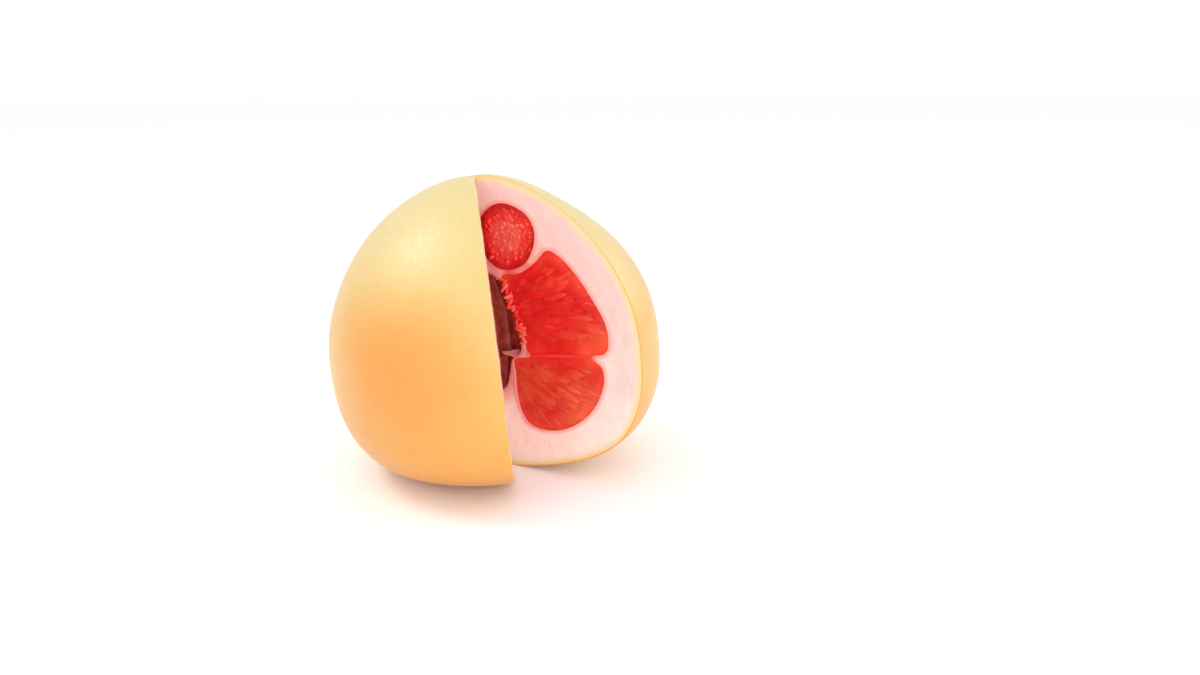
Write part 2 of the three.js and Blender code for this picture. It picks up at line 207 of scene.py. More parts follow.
def mesh_object(name: str, points: Points, faces: Sequence[Sequence[int]],
                values: dict[str, np.ndarray] | None = None) -> bpy.types.Object:
    """Makes a smooth-shaded mesh object from points in millimetres.

    Args:
        name: the object's name.
        points: its points, in millimetres.
        faces: its faces, as point numbers.
        values: named values of its points, single numbers or vectors.

    Returns:
        The new object, linked to the scene.
    """
    mesh = bpy.data.meshes.new(name)
    mesh.from_pydata((np.asarray(points) * MM).tolist(), [], [list(face) for face in faces])
    for key, value in (values or {}).items():
        kind, slot = ("FLOAT_VECTOR", "vector") if value.ndim == 2 else ("FLOAT", "value")
        layer = mesh.attributes.new(key, kind, "POINT")
        layer.data.foreach_set(slot, np.asarray(value, np.float32).ravel())
    mesh.shade_smooth()
    mesh.validate()
    mesh.set_sharp_from_angle(angle=math.radians(SHARP_FROM))
    piece = bpy.data.objects.new(name, mesh)
    bpy.context.scene.collection.objects.link(piece)
    return piece


@dataclass(frozen=True)
class Fruit:
    """The fruit's outside, its cut, and how it stands: what every piece is measured from."""

    outline: Outline = (
        (0, 67), (13, 65.8), (27, 61.3), (41, 53.4), (54.5, 42.2), (66, 28), (74.5, 12), (79, -4),
        (80, -20), (78.5, -38), (73, -53), (63, -65), (48, -72.6), (30, -77), (14, -78.8), (0, -79.2),
    )
    cut_from: float = 1.5
    cut_to: float = 55.5
    centre_height: float = 78.0
    lean_left: float = 5.7
    lean_back: float = 4.5
    shoulder_drop: float = 2.6
    shoulder_azimuth: float = 95.0
    shoulder_polar: float = 38.0
    shoulder_spread: float = 27.0
    stem_azimuth: float = 205.0
    stem_polar: float = 14.0
    stem_dimple: float = 1.1
    stem_dimple_spread: float = 6.5
    swell: float = 0.6

    def face_azimuth(self, side: Side) -> float:
        """Gives the azimuth of a cut face."""
        return self.cut_to if side is Side.RIGHT else 360 + self.cut_from

    @cached_property
    def turn(self) -> Points:
        """Works out the matrix that leans the fruit over.

        Returns:
            The matrix, for points as columns.
        """
        x, y = math.radians(-self.lean_back), math.radians(-self.lean_left)
        about_x = np.array([[1, 0, 0], [0, math.cos(x), -math.sin(x)], [0, math.sin(x), math.cos(x)]])
        about_y = np.array([[math.cos(y), 0, math.sin(y)], [0, 1, 0], [-math.sin(y), 0, math.cos(y)]])
        return about_y @ about_x

    @cached_property
    def offset(self) -> Points:
        """Works out the move that puts the middle of the fruit over the origin, from a coarse copy.

        Returns:
            The level move.
        """
        azimuths = np.linspace(self.cut_to, 360 + self.cut_from, 91)
        outside = self.unplaced(self.surface(azimuths, 61, 0.0), 0.0).reshape(-1, 3)
        middle = (outside.min(axis=0) + outside.max(axis=0)) / 2
        return np.array([-middle[0], -middle[1], 0.0])

    def direction(self, azimuth: float, polar: float) -> Points:
        """Gives the unit vector at an azimuth and an angle from the top."""
        a, p = math.radians(azimuth), math.radians(polar)
        return np.array([math.sin(p) * math.sin(a), -math.sin(p) * math.cos(a), math.cos(p)])

    def hollow(self, directions: Points, azimuth: float, polar: float, spread: float) -> np.ndarray:
        """Draws a soft hollow in the skin.

        Args:
            directions: unit vectors to the places.
            azimuth: where the hollow's middle is.
            polar: its angle from the top.
            spread: how wide it is, as an angle.

        Returns:
            Its depth in each direction, 1 in the middle.
        """
        middle = self.direction(azimuth, polar)
        away = np.degrees(np.arccos(np.clip(directions @ middle, -1, 1))) / spread
        return np.exp(-away**2)

    def unevenness(self, directions: Points) -> np.ndarray:
        """Tells how far the grown skin stands off a body of revolution.

        Args:
            directions: unit vectors to the places.

        Returns:
            One height for each direction.
        """
        x, y, z = directions.T
        swell = self.swell * np.sin(3 * x + 2 * y) * np.cos(4 * z + 1)
        shoulder = self.hollow(directions, self.shoulder_azimuth, self.shoulder_polar, self.shoulder_spread)
        dimple = self.hollow(directions, self.stem_azimuth, self.stem_polar, self.stem_dimple_spread)
        return swell - self.shoulder_drop * shoulder - self.stem_dimple * dimple

    def surface(self, azimuths: Points, rings: int, inset: float) -> Points:
        """Lays a grid of points on the skin, or a distance under it, in the fruit's own frame.

        Args:
            azimuths: the azimuth of each column.
            rings: how many rows there are from top to bottom.
            inset: how far under the skin the grid lies.

        Returns:
            Points by row and column.
        """
        profile = smooth_path(self.outline, rings)
        along = along_outline(profile)
        profile = profile + np.column_stack([along[:, 1], -along[:, 0]]) * inset
        profile[0] = (0, self.outline[0][1] - inset)
        profile[-1] = (0, self.outline[-1][1] + inset)
        angle = np.radians(azimuths)
        grid = np.empty((rings, len(azimuths), 3))
        grid[..., 0] = profile[:, 0:1] * np.sin(angle)
        grid[..., 1] = -profile[:, 0:1] * np.cos(angle)
        grid[..., 2] = profile[:, 1:2]
        flat = grid.reshape(-1, 3)
        directions = flat / np.linalg.norm(flat, axis=1)[:, None]
        flat += directions * self.unevenness(directions)[:, None]
        return grid

    def unplaced(self, points: Points, floor: float) -> Points:
        """Leans points over, lifts them to their height and flattens what would be under the floor.

        Args:
            points: points in the fruit's own frame.
            floor: the lowest height that they may have.

        Returns:
            The points, not yet moved over the origin.
        """
        placed = points @ self.turn.T
        placed[..., 2] = np.maximum(placed[..., 2] + self.centre_height, floor)
        return placed

    def placed(self, points: Points, floor: float = 0.0) -> Points:
        """Moves points from the fruit's own frame to where they stand."""
        return self.unplaced(points, floor) + self.offset

    def on_face(self, side: Side, uv: Points, lift: Points | float) -> Points:
        """Places points given on a cut face.

        Args:
            side: which face.
            uv: distances from the axis and heights.
            lift: how far each point stands out of the face, into the cut.

        Returns:
            The placed points.
        """
        outward, onward = axes_at(self.face_azimuth(side))
        points = uv[:, 0:1] * outward + uv[:, 1:2] * UP
        return self.placed(points + np.reshape(lift, (-1, 1)) * onward * -side.value, NO_FLOOR)

    def face_vector(self, side: Side, uv: Points) -> Points:
        """Turns directions given on a cut face into the directions that they stand in."""
        outward, _ = axes_at(self.face_azimuth(side))
        return (uv[:, 0:1] * outward + uv[:, 1:2] * UP) @ self.turn.T

    def rim(self, side: Side, inset: float, rings: int = 220) -> Points:
        """Draws the edge of a cut face, from top to bottom.

        Args:
            side: which face.
            inset: how far under the skin the edge lies.
            rings: how many points it has.

        Returns:
            Distances from the axis and heights.
        """
        azimuth = self.face_azimuth(side)
        column = self.unplaced(self.surface(np.array([azimuth]), rings, inset), inset)[:, 0]
        own = (column - self.centre_height * UP) @ self.turn
        return np.column_stack([own @ axes_at(azimuth)[0], own[:, 2]])


@dataclass(frozen=True)
class Anatomy:
    """The outlines of what shows on the cut faces, as distances from the axis and heights."""

    rind: float = 2.0
    core: Outline = (
        (0, 19.5), (4.5, 17.5), (7.5, 11), (10.5, 3), (13.5, -6), (15.5, -15), (14.5, -21),
        (9, -25), (6.5, -32), (4, -38), (0, -41),
    )
    upper_distance: float = 13.6
    upper_height: float = 36.2
    upper_radius: float = 16.6
    right_main: Outline = (
        (8.2, 17.2), (19, 18.4), (28, 23), (35.5, 28.6), (42.5, 25.6), (50, 17.4), (57, 6.4),
        (62.6, -4.5), (64.2, -13), (61.4, -20.7), (50, -21.9), (34, -21.5), (18.6, -21.2), (16.9, -12),
        (13.6, -1.5), (10.8, 8),
    )
    right_lower: Outline = (
        (10.4, -24), (24, -22.9), (40, -23.1), (53, -23.7), (59.5, -28.6), (58, -38.5), (51.5, -48.5),
        (42.5, -55.4), (31.5, -59.4), (20.5, -59.2), (12.4, -55), (9, -44), (9.2, -32),
    )
    left_main: Outline = (
        (10.4, 13), (19, 18.5), (28, 25), (36, 31), (44, 27.5), (52, 18), (59, 5.5), (63.5, -8),
        (63.5, -24), (58.5, -40), (49, -51.5), (36, -58.8), (22, -58.6), (13.4, -50), (10.6, -38),
        (13.5, -27.5), (18, -20), (17, -10), (14, 1),
    )
    whole: Outline = (
        (13.4, 10), (14.6, 27), (21, 43.5), (31, 47.5), (46, 37), (58, 18), (64, -6), (62, -29),
        (52, -48.5), (34, -60), (18.5, -57), (13.8, -41), (13.1, -24), (13.1, -8),
    )
    torn_edge: Outline = ((8.6, 15.5), (10.8, 8), (13.6, -1.5), (15.9, -9.5), (17, -15.5))
    torn_room: float = 5.0
    upper_squash: float = 0.97

    def closed(self, outline: Outline, spacing: float) -> Points:
        """Draws a closed outline.

        Args:
            outline: the points that it passes through.
            spacing: about how far apart its new points are.

        Returns:
            The new points.
        """
        rough = smooth_path(outline, 400, closed=True)
        length = np.linalg.norm(np.diff(np.vstack([rough, rough[:1]]), axis=0), axis=1).sum()
        return smooth_path(outline, max(12, round(length / spacing)), closed=True)

    def upper(self, side: Side, fruit: Fruit, spacing: float) -> Points:
        """Draws the round top segment where it meets a cut face.

        Args:
            side: which face.
            fruit: the fruit, for the angle of its cut.
            spacing: about how far apart the outline's points are.

        Returns:
            The closed outline.
        """
        between = math.radians(fruit.cut_to - fruit.cut_from)
        distance, radius = self.upper_distance, self.upper_radius
        if side is Side.LEFT:
            radius = math.sqrt(radius**2 - (distance * math.sin(between))**2)
            distance *= math.cos(between)
        count = round(2 * math.pi * radius / spacing)
        angle = -np.arange(count) / count * 2 * math.pi
        wobble = radius * (1 + 0.02 * np.sin(3 * angle + 1) + 0.012 * np.sin(5 * angle))
        return np.column_stack([distance + np.cos(angle) * wobble,
                                self.upper_height + np.sin(angle) * wobble * self.upper_squash])


@dataclass
class Plate:
    """A piece of a cut face: a closed slab whose front is drawn finely enough to carry relief."""

    fruit: Fruit
    side: Side
    spacing: float
    depth: float
    outer: Points
    holes: Sequence[Points] = ()
    jitter: float = 0.18
    clear: float = 0.6
    seed: int = 5

    def build(self) -> tuple[Points, np.ndarray]:
        """Covers the region with triangles.

        Returns:
            The points on the face, and the triangles by point number.
        """
        lines = [self.outer, *self.holes]
        low, high = self.outer.min(axis=0), self.outer.max(axis=0)
        rows = np.arange(low[1], high[1], self.spacing * math.sqrt(0.75))
        columns = np.arange(low[0], high[0], self.spacing)
        grid = np.array([(x + (number % 2) * self.spacing / 2, y)
                         for number, y in enumerate(rows) for x in columns])
        grid += self.jitter * self.spacing * np.random.default_rng(self.seed).uniform(-1, 1, grid.shape)
        grid = grid[self.within(grid)]
        grid = grid[distance_to(grid, lines) > self.clear * self.spacing]
        points, edges = [], []
        for line in lines:
            start = len(points)
            points.extend(map(tuple, line))
            edges.extend((start + k, start + (k + 1) % len(line)) for k in range(len(line)))
        points.extend(map(tuple, grid))
        result = delaunay_2d_cdt([Vector(point) for point in points], edges, [], 0, 1e-5)
        uv = np.array([tuple(point) for point in result[0]])
        triangles = np.array([tuple(face) for face in result[2]])
        middles = uv[triangles].mean(axis=1)
        triangles = triangles[self.within(middles)]
        used = np.unique(triangles)
        renumber = np.zeros(len(uv), int)
        renumber[used] = np.arange(len(used))
        return uv[used], renumber[triangles]

    def within(self, points: Points) -> np.ndarray:
        """Tells which points belong to the region.

        Args:
            points: the points to test.

        Returns:
            One truth value for each point.
        """
        kept = inside(points, self.outer) & (points[:, 0] > -AXIS_SLACK)
        for hole in self.holes:
            kept &= ~inside(points, hole)
        return kept

    def slab(self, uv: Points, triangles: np.ndarray, lift: np.ndarray) -> tuple[Points, list[list[int]]]:
        """Closes a relief into a slab.

        Args:
            uv: the points on the face.
            triangles: the triangles by point number.
            lift: how far each point stands out of the face.

        Returns:
            The placed points, front ones first, and all the faces.
        """
        a, b, c = uv[triangles[:, 0]], uv[triangles[:, 1]], uv[triangles[:, 2]]
        area = (b[:, 0] - a[:, 0]) * (c[:, 1] - a[:, 1]) - (b[:, 1] - a[:, 1]) * (c[:, 0] - a[:, 0])
        wanted = 1 if self.side is Side.RIGHT else -1
        front = np.where((area * wanted > 0)[:, None], triangles, triangles[:, ::-1])
        count = len(uv)
        placed = np.vstack([self.fruit.on_face(self.side, uv, lift),
                            self.fruit.on_face(self.side, uv, -self.depth)])
        directed = {(face[k], face[(k + 1) % 3]) for face in front.tolist() for k in range(3)}
        walls = [[b, a, a + count, b + count] for a, b in directed if (b, a) not in directed]
        back = (front[:, ::-1] + count).tolist()
        return placed, front.tolist() + back + walls


class Nodes:
    """Adds nodes to a tree and joins their sockets."""

    def __init__(self, tree: bpy.types.NodeTree) -> None:
        """Starts from a tree."""
        self.tree = tree

    def feed(self, socket: Socket, value: object) -> None:
        """Joins a socket to another, or sets its value.

        Args:
            socket: the input to feed.
            value: the other socket, or the value.
        """
        if isinstance(value, bpy.types.NodeSocket):
            self.tree.links.new(value, socket)
        else:
            socket.default_value = value

    def node(self, kind: str, inputs: dict[str | int, object] | None = None,
             **settings: object) -> bpy.types.Node:
        """Adds a node.

        Args:
            kind: the node's type.
            inputs: values or sockets for its inputs, by name or number.
            settings: the node's own settings, made before its inputs are fed.

        Returns:
            The node.
        """
        made = self.tree.nodes.new(kind)
        for key, value in settings.items():
            setattr(made, key, value)
        for key, value in (inputs or {}).items():
            self.feed(made.inputs[key], value)
        return made

    def math(self, operation: str, a: object, b: object = 0.0) -> Socket:
        """Adds a math node of the given operation on two numbers and gives its result."""
        return self.node("ShaderNodeMath", {0: a, 1: b}, operation=operation).outputs[0]

    def times(self, a: object, b: object) -> Socket:
        """Multiplies two numbers."""
        return self.math("MULTIPLY", a, b)

    def plus(self, a: object, b: object) -> Socket:
        """Adds two numbers."""
        return self.math("ADD", a, b)

    def less(self, a: object, b: object) -> Socket:
        """Takes one number from another."""
        return self.math("SUBTRACT", a, b)


@dataclass(frozen=True)
class Relief:
    """A low relief of noise: its waves in a metre, how fine it is, how much shows, its height in metres."""

    waves: float
    detail: float
    share: float
    height: float


class Shader(Nodes):
    """Builds a material of nodes round a Principled surface."""

    def __init__(self, name: str) -> None:
        """Starts a material.

        Args:
            name: the material's name.
        """
        self.material = bpy.data.materials.new(name)
        self.material.use_nodes = True
        super().__init__(self.material.node_tree)
        self.surface = next(n for n in self.tree.nodes if n.type == "BSDF_PRINCIPLED")

    def between(self, value: object, low: float, high: float, start: float = 0.0, end: float = 1.0) -> Socket:
        """Maps a range of a value smoothly to another range.

        Args:
            value: the value to map.
            low: where the range starts.
            high: where it ends.
            start: the result up to there.
            end: the result from there on.

        Returns:
            The mapped value.
        """
        made = self.node("ShaderNodeMapRange", {"Value": value, "From Min": low, "From Max": high,
                                                "To Min": start, "To Max": end},
                         interpolation_type="SMOOTHSTEP")
        return made.outputs[0]

    def mix(self, factor: object, a: object, b: object) -> Socket:
        """Mixes two colours.

        Args:
            factor: how much of the second there is.
            a: the first colour.
            b: the second colour.

        Returns:
            The mixed colour.
        """
        made = self.node("ShaderNodeMix", {0: factor}, data_type="RGBA")
        for number, value in ((6, a), (7, b)):
            self.feed(made.inputs[number], (*value, 1.0) if isinstance(value, tuple) else value)
        return made.outputs[2]

    def place(self) -> Socket:
        """Gives the place on the object."""
        return self.node("ShaderNodeTexCoord").outputs["Object"]

    def height(self, place: Socket) -> Socket:
        """Gives the height of a place."""
        return self.node("ShaderNodeSeparateXYZ", {0: place}).outputs[2]

    def away(self, place: Socket, middle: Place) -> Socket:
        """Gives how far a place is from a point."""
        made = self.node("ShaderNodeVectorMath", {0: place, 1: middle}, operation="DISTANCE")
        return made.outputs["Value"]

    def noise(self, place: object, scale: float, detail: float = 3.0, roughness: float = 0.55) -> Socket:
        """Adds a soft noise.

        Args:
            place: where it is read.
            scale: how many of its waves go into a metre.
            detail: how many finer noises it holds.
            roughness: how strong those are.

        Returns:
            The noise's strength.
        """
        made = self.node("ShaderNodeTexNoise", {"Vector": place, "Scale": scale, "Detail": detail,
                                                "Roughness": roughness})
        return made.outputs[0]

    def clouds(self, place: object, scale: float, detail: float, strength: float) -> Socket:
        """Adds a noise that goes as far below nought as above it."""
        return self.times(self.less(self.noise(place, scale, detail), 0.5), strength)

    def named(self, name: str) -> Socket:
        """Gives a named value of the mesh."""
        return self.node("ShaderNodeAttribute", attribute_name=name).outputs["Fac"]

    def bump(self, height: object, strength: float, distance: float, onto: Socket | None = None) -> Socket:
        """Adds a bump.

        Args:
            height: how high the surface stands.
            strength: how much of it shows.
            distance: what a height of 1 is, in metres.
            onto: the normal that it is added to.

        Returns:
            The new normal.
        """
        made = self.node("ShaderNodeBump", {"Strength": strength, "Distance": distance, "Height": height})
        if onto is not None:
            self.feed(made.inputs["Normal"], onto)
        return made.outputs[0]

    def relief(self, place: Socket, form: Relief) -> Socket:
        """Adds a low relief of noise and gives the new normal."""
        return self.bump(self.noise(place, form.waves, form.detail), form.share, form.height)

    def finish(self, **values: object) -> bpy.types.Material:
        """Sets the surface's sockets.

        Args:
            values: what goes to each socket, its name with underscores for spaces.

        Returns:
            The finished material.
        """
        for key, value in values.items():
            self.feed(self.surface.inputs[key.replace("_", " ")], value)
        return self.material


@dataclass(frozen=True)
class RindFinish:
    """Waxy yellow rind: paler at the top and warmer underneath, partly its own colour and partly painted
    light from above, with fine oil pores.
    """

    low: Colour = (0.71, 0.305, 0.050)
    middle: Colour = (0.66, 0.375, 0.080)
    high: Colour = (0.66, 0.53, 0.225)
    cut: Colour = (0.80, 0.62, 0.30)
    blush: Colour = (0.68, 0.255, 0.030)
    pore: Colour = (0.62, 0.30, 0.05)
    freckle: Colour = (0.66, 0.40, 0.12)
    blush_place: Place = (-0.044, -0.064, 0.063)
    blush_band: Band = (0.004, 0.058)
    blush_share: float = 0.9
    lower_colour_painted_shade_band: Band = (0.002, 0.072)
    upper_colour_painted_light_band: Band = (0.062, 0.142)
    cloud_waves: float = 17.0
    cloud_depth: float = 0.05
    pores_per_metre: float = 760.0
    pore_unevenness: float = 0.9
    pore_band: Band = (0.08, 0.55)
    pore_share: float = 0.16
    pore_depth: float = 0.00035
    freckle_waves: float = 150.0
    freckle_band: Band = (0.66, 0.76)
    freckle_share: float = 0.10
    rim_band: Band = (0.15, 1.3)
    dents: Relief = Relief(60.0, 3.0, 0.30, 0.0012)
    sheen_waves: float = 40.0
    roughness: Band = (0.36, 0.46)

    def material(self) -> bpy.types.Material:
        """Builds the material.

        Returns:
            The material.
        """
        made = Shader("rind")
        place = made.place()
        height = made.height(place)
        clouds = made.clouds(place, self.cloud_waves, 4, self.cloud_depth)
        level = made.plus(height, clouds)
        # Paler higher up and deeper orange lower down: partly the rind's own colour, partly painted light on
        # the top and painted shade underneath.
        lower = made.mix(made.between(level, *self.lower_colour_painted_shade_band), self.low, self.middle)
        skin = made.mix(made.between(level, *self.upper_colour_painted_light_band), lower, self.high)
        spread = made.plus(made.away(place, self.blush_place), made.times(clouds, 0.5))
        ripe = made.less(1.0, made.between(spread, *self.blush_band))
        skin = made.mix(made.times(ripe, self.blush_share), skin, self.blush)
        pores = made.node("ShaderNodeTexVoronoi", {"Vector": place, "Scale": self.pores_per_metre,
                                                   "Randomness": self.pore_unevenness})
        dip = made.between(pores.outputs["Distance"], *self.pore_band)
        dark = made.mix(made.times(made.less(1.0, dip), self.pore_share), skin, self.pore)
        freckles = made.between(made.noise(place, self.freckle_waves, 2), *self.freckle_band)
        spotted = made.mix(made.times(freckles, self.freckle_share), dark, self.freckle)
        colour = made.mix(made.between(made.named("under_skin"), *self.rim_band), spotted, self.cut)
        normal = made.bump(dip, 0.35, self.pore_depth, made.relief(place, self.dents))
        roughness = made.between(made.noise(place, self.sheen_waves, 2), 0.3, 0.7, *self.roughness)
        return made.finish(Base_Color=colour, Roughness=roughness, Normal=normal,
                           Subsurface_Weight=0.12, Subsurface_Radius=(1.0, 0.45, 0.12),
                           Subsurface_Scale=0.004, Coat_Weight=0.3, Coat_Roughness=0.36)


@dataclass(frozen=True)
class PithFinish:
    """Spongy pink pith, with pinker membranes round the flesh, a creamy line at the rind, and painted light
    that makes it lighter low down.
    """

    low_pink_painted_lighter: Colour = (0.94, 0.73, 0.665)
    pale: Colour = (0.80, 0.545, 0.50)
    membrane: Colour = (0.89, 0.25, 0.21)
    cream: Colour = (0.88, 0.66, 0.40)
    juice: Colour = (0.82, 0.032, 0.026)
    core: Colour = (0.40, 0.028, 0.014)
    core_vein: Colour = (0.68, 0.14, 0.07)
    painted_lightening_band: Band = (0.02, 0.085)
    membrane_band: Band = (0.3, 2.6)
    cream_band: Band = (0.2, 3.0)
    cloud_waves: float = 55.0
    cloud_depth: float = 0.08
    fibre_waves: float = 420.0
    fibre_band: Band = (0.35, 0.7)
    fibre_share: float = 0.15
    fibre_depth: float = 0.0006
    membrane_share: float = 0.7
    cream_share: float = 0.7
    juice_share: float = 0.96
    vein_waves: float = 190.0
    vein_band: Band = (0.4, 0.7)
    vein_share: float = 0.75
    dents: Relief = Relief(130.0, 4.0, 0.35, 0.0014)

    def material(self) -> bpy.types.Material:
        """Builds the material.

        Returns:
            The material.
        """
        made = Shader("pith")
        place = made.place()
        # Painted light: the pith is lighter low down, where its cut face gets less light, and fades to its
        # own pink higher up.
        level = made.plus(made.height(place), made.clouds(place, self.cloud_waves, 4, self.cloud_depth))
        colour = made.mix(made.between(level, *self.painted_lightening_band), self.low_pink_painted_lighter, self.pale)
        fibre = made.noise(place, self.fibre_waves, 3, 0.65)
        fibres = made.times(made.between(fibre, *self.fibre_band), self.fibre_share)
        colour = made.mix(fibres, colour, self.pale)
        near = made.less(1.0, made.between(made.named("from_flesh"), *self.membrane_band))
        colour = made.mix(made.times(near, self.membrane_share), colour, self.membrane)
        skin = made.less(1.0, made.between(made.named("from_rind"), *self.cream_band))
        colour = made.mix(made.times(skin, self.cream_share), colour, self.cream)
        colour = made.mix(made.times(made.named("thin"), self.juice_share), colour, self.juice)
        veins = made.between(made.noise(place, self.vein_waves, 4), *self.vein_band)
        core = made.mix(made.times(veins, self.vein_share), self.core, self.core_vein)
        colour = made.mix(made.named("in_core"), colour, core)
        normal = made.bump(fibre, 0.35, self.fibre_depth, made.relief(place, self.dents))
        return made.finish(Base_Color=colour, Roughness=0.62, Normal=normal, Subsurface_Weight=0.35,
                           Subsurface_Radius=(1.0, 0.42, 0.32), Subsurface_Scale=0.005,
                           Specular_IOR_Level=0.35)


@dataclass(frozen=True)
class FleshFinish:
    """Wet red flesh: clear juice sacs, each a little lighter or darker than the next, with painted light on
    the round segment: paler in its middle and deeper red at its edge.
    """

    deep: Colour = (0.70, 0.010, 0.012)
    bright: Colour = (0.93, 0.034, 0.026)
    warm: Colour = (0.91, 0.15, 0.054)
    light: Colour = (0.92, 0.25, 0.17)
    heart: Place = (0.018, -0.017, 0.080)
    warm_band: Band = (0.008, 0.040)
    warm_share: float = 0.85
    ripe_band: Band = (0.1, 0.9)
    pale_band: Band = (0.9, 2.4)
    cloud_waves: float = 45.0
    cloud_depth: float = 1.3
    streak_waves: float = 200.0
    streak_band: Band = (0.52, 0.78)
    streak_share: float = 0.12
    dents: Relief = Relief(330.0, 3.0, 0.22, 0.0006)

    def material(self, name: str) -> bpy.types.Material:
        """Builds the material.

        Args:
            name: its name.

        Returns:
            The material.
        """
        made = Shader(name)
        place = made.place()
        tone = made.named("tone")
        level = made.plus(tone, made.clouds(place, self.cloud_waves, 3, self.cloud_depth))
        warmth = made.between(made.away(place, self.heart), *self.warm_band)
        bright = made.mix(made.times(warmth, self.warm_share), self.bright, self.warm)
        colour = made.mix(made.between(level, *self.ripe_band), self.deep, bright)
        streak = made.between(made.noise(place, self.streak_waves, 2, 0.5), *self.streak_band)
        # High tone turns the flesh paler: the torn sacs' own paler colour, and the painted highlight in the
        # round segment's middle.
        pale = made.plus(made.times(streak, self.streak_share), made.between(tone, *self.pale_band))
        colour = made.mix(pale, colour, self.light)
        normal = made.relief(place, self.dents)
        return made.finish(Base_Color=colour, Roughness=0.24, Normal=normal, Subsurface_Weight=0.3,
                           Subsurface_Radius=(1.0, 0.10, 0.06), Subsurface_Scale=0.003,
                           Coat_Weight=0.2, Coat_Roughness=0.08, IOR=1.36)


# The round segment's deeper red shows at its edge: painted shade, with painted light in its middle.
ROUND_FINISH = FleshFinish(deep=(0.57, 0.007, 0.008), heart=(0.004, -0.005, 0.116))


@dataclass(frozen=True)
class ScarFinish:
    """Dry grey-brown cork of the stem end."""

    dark: Colour = (0.16, 0.095, 0.045)
    light: Colour = (0.42, 0.29, 0.15)
    grain_waves: float = 900.0
    grain_band: Band = (0.3, 0.7)
    grain_depth: float = 0.0006

    def material(self) -> bpy.types.Material:
        """Builds the material.

        Returns:
            The material.
        """
        made = Shader("cork")
        grain = made.noise(made.place(), self.grain_waves, 5, 0.7)
        colour = made.mix(made.between(grain, *self.grain_band), self.dark, self.light)
        normal = made.bump(grain, 0.6, self.grain_depth)
        return made.finish(Base_Color=colour, Roughness=0.85, Normal=normal)


class PieceTree(Nodes):
    """Builds a Geometry Nodes tree whose first output is its geometry."""

    def __init__(self, name: str, numbers: Sequence[str] = (), counts: Sequence[str] = (),
                 vectors: Sequence[str] = ()) -> None:
        """Starts a tree with a geometry, a material and named inputs.

        Args:
            name: the tree's name.
            numbers: the names of its number inputs.
            counts: the names of its whole number inputs.
            vectors: the names of its vector inputs.
        """
        super().__init__(bpy.data.node_groups.new(name, "GeometryNodeTree"))
        kinds = {"Geometry": "NodeSocketGeometry", **dict.fromkeys(numbers, "NodeSocketFloat"),
                 **dict.fromkeys(counts, "NodeSocketInt"), **dict.fromkeys(vectors, "NodeSocketVector"),
                 "Material": "NodeSocketMaterial"}
        sockets = self.tree.interface
        self.names = {key: sockets.new_socket(key, in_out="INPUT", socket_type=kind).identifier
                      for key, kind in kinds.items()}
        sockets.new_socket("Geometry", in_out="OUTPUT", socket_type="NodeSocketGeometry")
        self.entry = self.tree.nodes.new("NodeGroupInput")
        self.exit = self.tree.nodes.new("NodeGroupOutput")

    def given(self, name: str) -> Socket:
        """Gives the value of a named input."""
        return self.entry.outputs[name]

    def scaled(self, vector: object, factor: object) -> Socket:
        """Scales a vector."""
        return self.node("ShaderNodeVectorMath", {0: vector, "Scale": factor}, operation="SCALE").outputs[0]

    def joined(self, x: object, y: object, z: object) -> Socket:
        """Makes a vector of three numbers."""
        return self.node("ShaderNodeCombineXYZ", {0: x, 1: y, 2: z}).outputs[0]

    def drawn(self, low: float, high: float, seed: object) -> Socket:
        """Draws a number for each element."""
        return self.node("FunctionNodeRandomValue", {2: low, 3: high, 8: seed}, data_type="FLOAT").outputs[1]

    def named(self, name: str, kind: str) -> Socket:
        """Reads a named value of the geometry."""
        return self.node("GeometryNodeInputNamedAttribute", {"Name": name}, data_type=kind).outputs[0]

    def end(self, geometry: Socket) -> None:
        """Gives the tree's result its material and joins it to the output."""
        dressed = self.node("GeometryNodeSetMaterial",
                            {"Geometry": geometry, "Material": self.given("Material")})
        self.tree.links.new(dressed.outputs[0], self.exit.inputs[0])

    def run(self, piece: bpy.types.Object, values: dict[str, object]) -> None:
        """Runs the tree on a piece and keeps the result as its mesh.

        Args:
            piece: the object whose mesh the tree starts from.
            values: the tree's inputs by name.
        """
        modifier = piece.modifiers.new("tree", "NODES")
        modifier.node_group = self.tree
        for name, value in values.items():
            modifier[self.names[name]] = value
        graph = bpy.context.evaluated_depsgraph_get()
        result = bpy.data.meshes.new_from_object(piece.evaluated_get(graph), depsgraph=graph)
        piece.modifiers.remove(modifier)
        piece.data = result


SAC_LENGTHS = ("Spacing", "Length", "Width", "Thickness", "Sunk", "Edge")
SAC_SHARES = ("Wander", "Tone", "Middle_painted_light", "Variety")


@dataclass(frozen=True)
class SacForm:
    """How a juice sac is drawn, and how far sacs differ, as shares of their sizes."""

    segments: int = 9
    rings: int = 8
    taper: float = 0.55
    size_range: Band = (0.78, 1.22)
    shortest: float = 0.42
    least_girth: float = 0.35
    depth_spread: float = 0.35
    tone_spread: float = 0.4
    most_in_square_metre: float = 3.0e6


